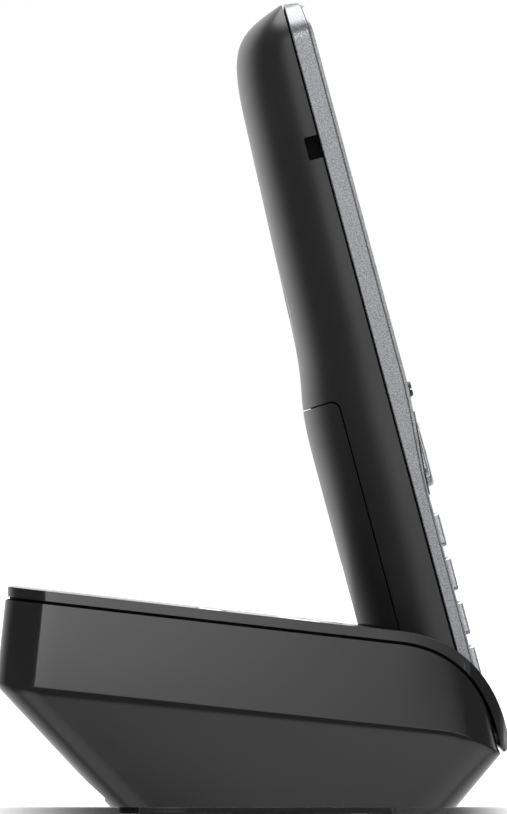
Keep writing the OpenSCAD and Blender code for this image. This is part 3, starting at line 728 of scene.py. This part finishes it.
def feet():
    for node in ("rear_feet", "front_feet"):
        low, high = local_box(node, WORLD)
        w = 10.0 if node == "rear_feet" else 12.0
        pads = []
        for side in (-1, 1):
            cx = side * (high.x - w / 2)
            outline = rounded_rect(w, high.y - low.y, 2.0, cx, (low.y + high.y) / 2, 6)
            pads.append(domed("pad", outline, "z", high.z, low.z, 0.35, 0.0))
        pads[0].name = node + "_pads"
        join(pads[0], pads[1])
        dress(pads[0], FINISH[SLOT_OF[node]], SLOT_OF[node], "base", node)


def bottom_plate():
    low, high = local_box("base_bottom_plate", WORLD)
    outline = rounded_rect(high.x - low.x, high.y - low.y, 2.5, 0, (low.y + high.y) / 2)
    plate = prism("base_bottom_plate_skin", outline, "z", low.z, high.z)
    seats = []
    for x, y in screw_spots():
        seats.append(prism("seat", ellipse(6.4, 6.4, x, y, 32), "z", low.z - 1, low.z + 1.0))
        seats.append(prism("seat", ellipse(3.2, 3.2, x, y, 24), "z", low.z - 1, high.z + 1))
    for i in range(-2, 3):
        vent = rounded_rect(2.0, 18.0, 0.95, -32 + 5 * i, -3.0)
        seats.append(prism("vent", vent, "z", low.z - 1, high.z + 1))
    cut(plate, *seats)
    bevel(plate, 0.25, 2, 50)
    dress(plate, FINISH["satin_black"], "satin_black", "base", "base_bottom_plate")


def screw_spots():
    """Centres of the separate base screws, from the groups of their points."""
    groups = []
    for v in frame["nodes"]["base_screws"].data.vertices:
        p = Vector((v.co.x, v.co.y)) / MM
        home = next((g for g in groups if (g[0] - p).length < 7.0), None)
        if home:
            home.append(p)
        else:
            groups.append([p])
    spots = []
    for g in groups:
        x = (min(p.x for p in g) + max(p.x for p in g)) / 2
        y = (min(p.y for p in g) + max(p.y for p in g)) / 2
        spots.append((x, y))
    return spots


# ---------------------------------------------------------------- handset
BACK_TOP = bezier((0.8, 0.0), (10.0, 3.0), (12.6, 5.0), (13.3, 19.0), 24)
BACK_STEP = bezier((15.1, 64.0), (15.7, 79.5), (17.7, 76.5), (17.7, 91.0), 24)
R_TOP = 8.0
R_LOW = 6.0
SEAM_Z = 71.0
SEAM_Y = 9.7
SHELL_WALL = 1.8
NOTCH_Z = (119.6, 124.4)
NOTCH_Y = 2.8
NOTCH_IN = 2.0
SHADE_SHEET_IN = 0.9


def back_depth(z):
    """Depth of the rear shell behind the parting line at height z."""
    s = HS_LEN - z
    if s <= 19.0:
        return value_at(BACK_TOP, s, 1)
    if s <= 64.0:
        return 13.3 + (s - 19.0) / 45.0 * 1.8
    if s <= 91.0:
        return value_at(BACK_STEP, s, 1)
    return HS_BACK


def half_width(z, inset=0.0):
    """Half of the handset's width at height z: its corners are round in front view."""
    half = HS_W / 2 - inset
    low = R_LOW - (z - inset)
    high = R_TOP - (HS_LEN - inset - z)
    if low > 0:
        r = R_LOW - inset
        return half - r + math.sqrt(max(r * r - min(low - inset, r) ** 2, 0.0))
    if high > 0:
        r = R_TOP - inset
        return half - r + math.sqrt(max(r * r - min(high - inset, r) ** 2, 0.0))
    return half


def shell_levels():
    """Heights of the rings, closer where the outline turns."""
    ends = [0.0, 0.05, 0.3, 0.8, 1.6, 2.6, 4.0, 6.0]
    low = ends + [6.0 + (HS_LEN - 92 - 6.0) * i / 6 for i in range(1, 7)]
    mid = [HS_LEN - 91 + 1.5 * i for i in range(1, 19)]
    up = [HS_LEN - 64 + 4.5 * i for i in range(1, 11)]
    downs = (17, 15, 13, 11, 9.5, 8, 7, 6, 5, 4, 3.2, 2.4, 1.7, 1.1, 0.6, 0.25, 0.0)
    top = [HS_LEN - s for s in downs]
    return sorted(set(low + mid + up + top))


def rear_mass(name, inset, front=0.0):
    """The handset's rear half as a solid, shrunk by inset and reaching front ahead of the parting line."""
    rings = []
    levels = [z for z in shell_levels() if inset <= z <= HS_LEN - inset]
    levels = sorted(set([inset] + levels + [HS_LEN - inset]))
    for z in levels:
        depth = max(back_depth(z) - inset, 0.3)
        edge = min((z - inset) / 1.2, 1.0)
        if edge < 1:
            depth -= 1.0 * (1 - math.sqrt(max(1 - (1 - edge) ** 2, 0)))
        half = half_width(z, inset)
        ring = [(x, y, z) for x, y in super_half(half, depth, 56)]
        if front:
            ring += [(-half, -front, z), (half, -front, z)]
        rings.append(ring)
    return loft(name, rings, HANDSET)


def handset_rear():
    shell = rear_mass("handset_rear_shell_skin", 0.0)
    cavity = rear_mass("cavity", SHELL_WALL, 1.0)
    partition = prism("partition", box_outline(-40, 40, 3.4, 4.8), "z", -1.0, SEAM_Z, HANDSET)
    ceiling = prism("ceiling", box_outline(-40, 40, 3.4, 40), "z", SEAM_Z - 1.5, SEAM_Z, HANDSET)
    low, high = local_box("rear_inlay", HANDSET)
    mid = (low.z + high.z) / 2
    size = (high.x - low.x, high.z - low.z)
    rim = ellipse(size[0] + 2, size[1] + 2, 0, mid)
    backing = prism("backing", rim, "y", 12.0, HS_BACK - 3.6, HANDSET)
    pockets = [notch_block(side, NOTCH_IN + 1, 1, -2) for side in (-1, 1)]
    cut(cavity, partition, ceiling, backing, *pockets)
    cutters = [cavity, seam_block("bay", 0.0)]
    oval = prism("oval", ellipse(size[0] + 0.5, size[1] + 0.5, 0, mid), "y", 10.0, 30.0, HANDSET)
    cutters.append(cut(oval, rear_mass("inlay_floor", 1.1)))
    cutters += [notch_block(side, NOTCH_IN, 0, 0) for side in (-1, 1)]
    low, high = local_box("charge_pads", HANDSET)
    for side in (-1, 1):
        x = side * (high.x - 3.0)
        seat = box_outline(x - 3.2, x + 3.2, low.y - 0.2, high.y + 0.2)
        cutters.append(prism("pad_seat", seat, "z", -1.0, 0.8, HANDSET))
    cut(shell, *cutters)
    bevel(shell, 0.14, 2, 50)
    tongue = prism("handset_parting_tongue", outline_front(1.15), "y", -1.0, 0.5, HANDSET)
    cut(tongue, prism("inside", outline_front(SHELL_WALL), "y", -3, 3, HANDSET))
    dress(shell, FINISH["handset_black"], "handset_black", "handset", "handset_rear_shell", angle=35)
    # the tongue and the bay ledges are dressed near-black as painted shade in the parting gap and the battery
    # cover's seam
    dress(tongue, SHADE_BLACK, "handset_black", "handset")
    for ledge in bay_ledge():
        dress(ledge, SHADE_BLACK, "handset_black", "handset")
    # near-black sheets at the floors of the blind notches: painted shade in the recesses
    for side, label in ((-1, "left"), (1, "right")):
        shade_sheet = prism("strap_notch_shade_sheet_" + label, notch_outline(-0.02, 0.02), "x",
                       side * (HS_W / 2 - NOTCH_IN + 0.02), side * (HS_W / 2 - SHADE_SHEET_IN), HANDSET)
        dress(shade_sheet, SHADE_BLACK, "handset_black", "handset")


def notch_outline(grow, front):
    """Side view of the blind notch beside the parting line."""
    low, high = NOTCH_Z[0] - grow, NOTCH_Z[1] + grow
    rear = NOTCH_Y + grow
    radii = (0.4, 0.4, 0.01, 0.01)
    return rounded_rect(rear - front, high - low, radii, (rear + front) / 2, (low + high) / 2)


def notch_block(side, depth, grow, front):
    """The cutter for the notch, as deep outside the shell as in it."""
    edge = side * HS_W / 2
    return prism("notch", notch_outline(grow, front), "x", edge - depth, edge + depth, HANDSET)


def bay_ledge():
    """The ledge under the battery cover's edge, which closes its seam from behind."""
    top = rear_mass("battery_bay_top_ledge", 1.65)
    keep(top, prism("slab", box_outline(-40, 40, SEAM_Y - 1, 40), "z", SEAM_Z - 1.8, SEAM_Z + 1, HANDSET))
    sides = rear_mass("battery_bay_side_ledge", 1.65)
    cut(sides, rear_mass("inside", 2.6, 1.0))
    slab = box_outline(-40, 40, SEAM_Y - 1, SEAM_Y + 1.2)
    keep(sides, prism("slab", slab, "z", 3.0, SEAM_Z - 1, HANDSET))
    return top, sides


def seam_block(name, gap):
    """The block whose outline is the battery cover's edge: round-cornered in side view."""
    top = SEAM_Z - gap
    side = SEAM_Y + gap
    r = 1.8
    turns = [math.pi / 2 * i / 8 for i in range(9)]
    arc = [(side + r - r * math.cos(a), top - r + r * math.sin(a)) for a in turns]
    outline = [(side, -2.0)] + arc + [(40.0, top - 0.9), (40.0, -2.0)]
    return prism(name, outline, "x", -40, 40, HANDSET)


def battery_cover():
    lid = rear_mass("battery_cover_skin", 0.0)
    cut(lid, rear_mass("inside", 1.5))
    keep(lid, seam_block("block", 0.3))
    bevel(lid, 0.14, 2, 50)
    dress(lid, FINISH["handset_black"], "handset_black", "handset", "battery_cover", angle=35)


def rear_inlay():
    low, high = local_box("rear_inlay", HANDSET)
    inlay = rear_mass("rear_inlay_badge", 0.0)
    cut(inlay, rear_mass("inside", 1.1))
    mid = (low.z + high.z) / 2
    oval = ellipse(high.x - low.x, high.z - low.z, 0, mid)
    keep(inlay, prism("oval", oval, "y", 10.0, 30.0, HANDSET))
    slots = [rounded_rect(1.0, 9.0 - abs(i) * 1.5, 0.45, i * 2.6, mid) for i in range(-2, 3)]
    cut(inlay, *[prism("slot", slot, "y", 10, 30, HANDSET) for slot in slots])
    bevel(inlay, 0.2, 2, 50)
    dress(inlay, INLAY_GREY, "handset_black", "handset", "rear_inlay", angle=35)


FRONT_TOP = 4.8
FRONT_LOW = 3.1


def front_path(steps=28):
    """Front face in side view, as distance ahead of the parting line and height, from the top down."""
    steps_down = ((0.95, 0.55), (0.6, 1.2), (0.4, 2.1), (0.25, 3.5), (0.13, 5.0), (0.05, 6.5), (0.0, 8.0))
    points = [(FRONT_TOP - back, HS_LEN - down) for back, down in steps_down]
    for i in range(steps + 1):
        t = i / steps
        s = (1 - math.cos(math.pi * t)) / 2
        points.append((FRONT_TOP + (FRONT_LOW - FRONT_TOP) * s, HS_LEN - 79 - 27 * t))
    return points + [(FRONT_LOW, 0.0)]


def band(d):
    return 0.35 + (d - FRONT_LOW) * 0.2


def outline_front(inset):
    """Handset outline in front view."""
    r = (R_LOW - inset, R_TOP - inset, R_TOP - inset, R_LOW - inset)
    return rounded_rect(HS_W - 2 * inset, HS_LEN - 2 * inset, r, 0, HS_LEN / 2, 14)


def layer(name, near, far_side):
    """A slab across the handset that follows its front face between two depths behind it."""
    path = front_path()
    outer = [(-d + near(d), z) for d, z in path]
    inner = [(-d + far_side(d), z) for d, z in path]
    return prism(name, outer + inner[::-1], "x", -40, 40, HANDSET)


def behind(name, depth):
    outline = [(-d + depth(d), z) for d, z in front_path()] + [(6.0, 0.0), (6.0, HS_LEN), (-REVEAL, HS_LEN)]
    return prism(name, outline, "x", -40, 40, HANDSET)


KEY_NODES = ["key_%d" % i for i in range(1, 10)] + ["key_star", "key_0", "key_hash"]
SOFT_NODES = ["soft_key_left", "soft_key_right"]
SIDE_NODES = ["talk_key", "off_key"]
KEY_R = 0.8
SOFT_R = 1.2
SIDE_R = 2.0
NAV_R = 5.0
FLANGE = 0.6


def key_holes():
    cutters = []
    for nodes, radius in ((KEY_NODES, KEY_R), (SOFT_NODES, SOFT_R), (SIDE_NODES, SIDE_R)):
        for n in nodes:
            cutters.append(node_hole(n, "hole", KEY_GAP - FLANGE, HANDSET, "y", -10, 2, radius + FLANGE))
    cutters.append(node_hole("nav_ring", "hole", KEY_GAP, HANDSET, "y", -10, 2, NAV_R))
    return cutters


def front_frame():
    """The silver band round the handset, with the deck that the fascia lies on."""
    ring = prism("handset_front_frame_band", outline_front(0.0), "y", -9, -REVEAL, HANDSET)
    keep(ring, behind("behind", band))
    bevel(ring, 0.32, 3, 50)
    room = prism("room", outline_front(1.8), "y", -9, 3, HANDSET)
    keep(room, behind("behind", lambda d: band(d) + 0.9))
    rabbet = prism("rabbet", outline_front(1.0), "y", -1.2, 3, HANDSET)
    cutters = [room, rabbet] + key_holes()
    low, high = local_box("display_lens", HANDSET)
    window = box_outline(low.x + 1.5, high.x - 1.5, low.z + 1.5, high.z - 1.5)
    cutters.append(prism("window", window, "y", -10, 2, HANDSET))
    low, high = local_box("earpiece_grille", HANDSET)
    ear = box_outline(low.x + 1, high.x - 1, low.z + 0.5, high.z - 0.5)
    cutters.append(prism("ear", ear, "y", -10, 2, HANDSET))
    cut(ring, *cutters)
    dress(ring, FINISH["silver_paint"], "silver_paint", "handset", "handset_front_frame", angle=35)


def fascia():
    plate = prism("handset_fascia_plate", outline_front(1.0), "y", -9, 0, HANDSET)
    keep(plate, layer("layer", lambda d: 0.0, lambda d: band(d) - 0.06))
    bevel(plate, 0.2, 2, 50)
    cutters = key_holes()
    for node, radius in (("display_lens", 0.8), ("earpiece_grille", 1.4)):
        cutters.append(node_hole(node, "hole", 0.1, HANDSET, "y", -10, 2, radius))
    cut(plate, *cutters)
    bevel(plate, 0.1, 1, 50)
    dress(plate, FINISH["silver_fascia"], "silver_fascia", "handset", "handset_fascia", angle=30)


def display():
    low, high = local_box("display_lens", HANDSET)
    outline = rounded_rect(high.x - low.x, high.z - low.z, 0.8, 0, (low.z + high.z) / 2)
    lens = domed("display_lens_glass", outline, "y", high.y, low.y, 0.18, 0.0, HANDSET)
    dress(lens, FINISH["lens_black"], "lens_black", "handset", "display_lens")
    w = high.x - low.x - 7
    h = (high.z - low.z) * 0.62
    mid = (low.z + high.z) / 2 + 1.5
    area = rounded_rect(w, h, 0.3, 0, mid)
    screen = prism("display_screen_area", area, "y", low.y - 0.004, low.y + 0.1, HANDSET)
    dress(screen, FINISH["display_grey"], "display_grey", "handset")


def earpiece():
    low, high = local_box("earpiece_grille", HANDSET)
    mid = (low.z + high.z) / 2
    outline = rounded_rect(high.x - low.x, high.z - low.z, 1.4, 0, mid)
    grille = domed("earpiece_grille_plate", outline, "y", high.y, low.y, 0.12, 0.0, HANDSET)
    holes = [rounded_rect(1.5, 1.1, 0.5, i * 2.4, mid) for i in range(-2, 3)]
    cut(grille, *[prism("hole", hole, "y", -10, 2, HANDSET) for hole in holes])
    dress(grille, FINISH["key_dark"], "key_dark", "handset", "earpiece_grille")


def middle(low, high):
    return (low.x + high.x) / 2, (low.z + high.z) / 2


def key_shape(node, radius, round_r, crown):
    """A key: rounded cap, with the hidden flange that keeps it in. Also gives its middle and front."""
    low, high = local_box(node, HANDSET)
    mid = middle(low, high)
    w = high.x - low.x - 2 * FLANGE
    h = high.z - low.z - 2 * FLANGE
    cap = domed(node + "_cap", rounded_rect(w, h, radius, *mid), "y", high.y, low.y, round_r, crown, HANDSET)
    rim = rounded_rect(w + 2 * FLANGE, h + 2 * FLANGE, radius, *mid)
    join(cap, prism("flange", rim, "y", high.y - 0.5, high.y, HANDSET))
    return cap, mid, low.y


def key_cap(node, radius, round_r, crown, finish):
    cap, mid, front = key_shape(node, radius, round_r, crown)
    dress(cap, FINISH[finish], finish, node + "_body", node)
    return mid, front


def legend(node, text, mid, front, size, body):
    """A printed character: a sliver of ink on the key's face."""
    curve = bpy.data.curves.new("text", "FONT")
    curve.body = text
    curve.align_x = "CENTER"
    curve.align_y = "CENTER"
    curve.size = size
    curve.extrude = 0.03
    curve.resolution_u = 4
    temp = bpy.data.objects.new("text", curve)
    bpy.context.scene.collection.objects.link(temp)
    mesh = bpy.data.meshes.new_from_object(temp.evaluated_get(bpy.context.evaluated_depsgraph_get()))
    bpy.data.objects.remove(temp)
    stand = Matrix.Translation((mid[0], front, mid[1])) @ Matrix.Rotation(math.pi / 2, 4, "X")
    mesh.transform(HANDSET @ Matrix.Scale(MM, 4) @ stand)
    obj = bpy.data.objects.new(node + "_legend", mesh)
    bpy.context.scene.collection.objects.link(obj)
    dress(obj, LEGEND, SLOT_OF[node], body)


def number_keys():
    names = dict(zip(KEY_NODES, list("123456789*0#")))
    for node, text in names.items():
        mid, front = key_cap(node, KEY_R, 0.4, 0.06, "key_silver")
        legend(node, text, mid, front + 0.025, 4.6, node + "_body")


def soft_keys():
    for node in SOFT_NODES:
        cap, mid, front = key_shape(node, SOFT_R, 0.4, 0.0)
        line = rounded_rect(30, 0.42, 0.2, mid[0], mid[1] - 0.05)
        cut(cap, prism("groove", line, "y", front - 1, front + 0.36, HANDSET))
        dress(cap, FINISH["key_dark"], "key_dark", node + "_body", node)


def side_keys():
    for node in SIDE_NODES:
        mid, front = key_cap(node, SIDE_R, 0.5, 0.1, "key_silver")
        stroke = rounded_rect(3.6, 0.9, 0.42, *mid)
        bar = prism(node + "_mark", stroke, "y", front + 0.2, front - 0.004, HANDSET)
        dress(bar, LEGEND, SLOT_OF[node], node + "_body")


def navigation():
    low, high = local_box("nav_ring", HANDSET)
    mid = middle(low, high)
    hole_low, hole_high = local_box("nav_centre", HANDSET)
    open_d = hole_high.x - hole_low.x + 1.4
    outline = rounded_rect(high.x - low.x, high.z - low.z, NAV_R, *mid, 10)
    ring = domed("nav_ring_rocker", outline, "y", high.y, low.y, 0.7, 0.12, HANDSET, 5)
    cut(ring, prism("hole", ellipse(open_d, open_d, *mid), "y", -10, 2, HANDSET))
    bevel(ring, 0.18, 2, 50)
    dress(ring, FINISH["nav_metal"], "nav_metal", "nav_ring_body", "nav_ring")
    disc = ellipse(hole_high.x - hole_low.x, hole_high.z - hole_low.z, *mid)
    centre = domed("nav_centre_cap", disc, "y", -1.6, hole_low.y, 0.5, 0.15, HANDSET)
    join(centre, prism("stem", ellipse(5.0, 5.0, *mid), "y", hole_high.y, -1.7, HANDSET))
    dress(centre, FINISH["key_silver"], "key_silver", "nav_centre_body", "nav_centre")
    arrow = [(-0.9, -0.45), (0.9, -0.45), (0.0, 0.65)]
    arrows = []
    for dx, dz, turn in ((0, 5.55, 0), (0, -5.55, 2), (7.7, 0, 3), (-7.7, 0, 1)):
        c, s = math.cos(turn * math.pi / 2), math.sin(turn * math.pi / 2)
        shape = [(mid[0] + dx + x * c - z * s, mid[1] + dz + x * s + z * c) for x, z in arrow]
        arrows.append(prism("nav_ring_marks", shape, "y", low.y + 0.5, low.y + 0.02, HANDSET))
    join(arrows[0], *arrows[1:])
    dress(arrows[0], LEGEND, "nav_metal", "nav_ring_body")


def key_plate():
    low, high = local_box("key_plate", HANDSET)
    outline = rounded_rect(high.x - low.x, high.z - low.z, NAV_R, *middle(low, high))
    plate = prism("key_plate_inlay", outline, "y", -9, 0, HANDSET)
    keep(plate, layer("layer", lambda d: -0.35, lambda d: 0.0))
    cut(plate, *key_holes())
    bevel(plate, 0.1, 2, 50)
    dress(plate, FINISH["key_dark"], "key_dark", "handset", "key_plate")


# ---------------------------------------------------------------- stage
def stage():
    """A white floor that the dome lights evenly, left out of the object's own reflections."""
    bm = bmesh.new()
    bmesh.ops.create_grid(bm, x_segments=1, y_segments=1, size=40000)
    floor = new_object("floor", bm)
    m = Maker("floor_white")
    m.tint(m.noise(3, 2), (0.88, 0.88, 0.88), (0.9, 0.9, 0.9))
    m.shader.inputs["Roughness"].default_value = 0.9
    m.shader.inputs["Specular IOR Level"].default_value = 0.0
    floor.data.materials.append(m.material)
    floor.visible_glossy = False


def grade(tree, source, start, end, low, high, smooth=True):
    node = tree.nodes.new("ShaderNodeMapRange")
    node.interpolation_type = "SMOOTHSTEP" if smooth else "LINEAR"
    for key, value in (("From Min", start), ("From Max", end), ("To Min", low), ("To Max", high)):
        node.inputs[key].default_value = value
    tree.links.new(source, node.inputs["Value"])
    return node.outputs["Result"]


def maths(tree, kind, a, b):
    node = tree.nodes.new("ShaderNodeMath")
    node.operation = kind
    for socket, value in zip(node.inputs, (a, b)):
        if isinstance(value, (int, float)):
            socket.default_value = value
        else:
            tree.links.new(value, socket)
    return node.outputs[0]


def dome():
    """Soft light from all round: bright above and behind, dark beside the camera's softbox."""
    world = bpy.data.worlds.new("studio")
    bpy.context.scene.world = world
    world.use_nodes = True
    tree = world.node_tree
    coords = tree.nodes.new("ShaderNodeTexCoord")
    split = tree.nodes.new("ShaderNodeSeparateXYZ")
    tree.links.new(coords.outputs["Generated"], split.inputs[0])
    x, z = split.outputs[0], split.outputs[2]
    sides = grade(tree, x, 0.1, 0.95, DIM, 1.05)
    above = grade(tree, z, 0.66, 0.86, 0.0, TOP_LIGHT)
    below = grade(tree, z, -0.92, -0.72, BELOW_LIGHT, 0.0)
    light = maths(tree, "MAXIMUM", maths(tree, "MAXIMUM", sides, above), below)
    path = tree.nodes.new("ShaderNodeLightPath")
    camera_ray = path.outputs["Is Camera Ray"]
    hidden = maths(tree, "MULTIPLY", maths(tree, "SUBTRACT", 1.0, camera_ray), light)
    tree.links.new(maths(tree, "ADD", camera_ray, hidden), tree.nodes["Background"].inputs["Strength"])
    tree.nodes["Background"].inputs["Color"].default_value = (1, 1, 1, 1)


def glowing_card(name, distance, y_range, z_range, strength):
    """An upright card of light beside the camera, seen only in reflections; strength(tree, y) grades it."""
    y0, y1 = y_range
    z0, z1 = z_range
    mesh = bpy.data.meshes.new(name)
    corners = [(-distance, y0, z0), (-distance, y1, z0), (-distance, y1, z1), (-distance, y0, z1)]
    mesh.from_pydata(corners, [], [(0, 1, 2, 3)])
    card = bpy.data.objects.new(name, mesh)
    bpy.context.scene.collection.objects.link(card)
    material = bpy.data.materials.new(name)
    material.use_nodes = True
    tree = material.node_tree
    tree.nodes.clear()
    coords = tree.nodes.new("ShaderNodeTexCoord")
    split = tree.nodes.new("ShaderNodeSeparateXYZ")
    tree.links.new(coords.outputs["Object"], split.inputs[0])
    glow = tree.nodes.new("ShaderNodeEmission")
    tree.links.new(strength(tree, split.outputs[1]), glow.inputs["Strength"])
    out = tree.nodes.new("ShaderNodeOutputMaterial")
    tree.links.new(glow.outputs[0], out.inputs[0])
    mesh.materials.append(material)
    card.visible_camera = False
    card.visible_shadow = False


def box_strength(tree, y):
    level = grade(tree, y, -0.085, 0.112, BOX_LOW, BOX_HIGH, False)
    return maths(tree, "MULTIPLY", level, grade(tree, y, -0.3, -0.1, 0.0, 1.0))


def fill_strength(tree, y):
    return grade(tree, y, 0.0, 0.6, FILL_LIGHT, 0.0)


def softboxes():
    """One softbox that the base's leaning side mirrors, and a low fill for the upright faces."""
    glowing_card("softbox", 1.2, (-0.3, 0.112), (0.25, 0.75), box_strength)
    glowing_card("fill_card", 1.25, (-0.5, 0.62), (-0.05, 0.24), fill_strength)


def camera():
    """Square on to the phone's side, from far away, a little above the base's top."""
    cam = bpy.data.cameras.new("camera")
    cam.sensor_fit = "VERTICAL"
    cam.sensor_height = 36.0
    cam.lens = 36.0 * CAM_DISTANCE / VIEW_HEIGHT
    cam.clip_end = 100
    obj = bpy.data.objects.new("camera", cam)
    obj.location = (-CAM_DISTANCE, CAM_Y, CAM_HEIGHT)
    obj.rotation_euler = (Vector((0, CAM_Y, VIEW_MID_Z)) - obj.location).to_track_quat("-Z", "Y").to_euler()
    bpy.context.scene.collection.objects.link(obj)
    bpy.context.scene.camera = obj
    bpy.context.scene.view_settings.view_transform = "Standard"


DIM = 0.1
TOP_LIGHT = 4.0
FILL_LIGHT = 1.6
BELOW_LIGHT = 1.0
BOX_LOW = 0.8
BOX_HIGH = 5.6
CAM_DISTANCE = 4.2
CAM_Y = 0.0
CAM_HEIGHT = 0.0556
VIEW_HEIGHT = 0.1661
VIEW_MID_Z = 0.0824
BAY = (Vector((-50.0, 30.0, 0.0)), Vector((-11.0, 52.0, 20.6)))

dress_cad_nodes()
base_body()
base_cover()
cradle_well()
base_keys()
feet()
bottom_plate()
handset_rear()
battery_cover()
rear_inlay()
front_frame()
fascia()
display()
earpiece()
number_keys()
soft_keys()
side_keys()
navigation()
key_plate()
stage()
dome()
softboxes()
camera()
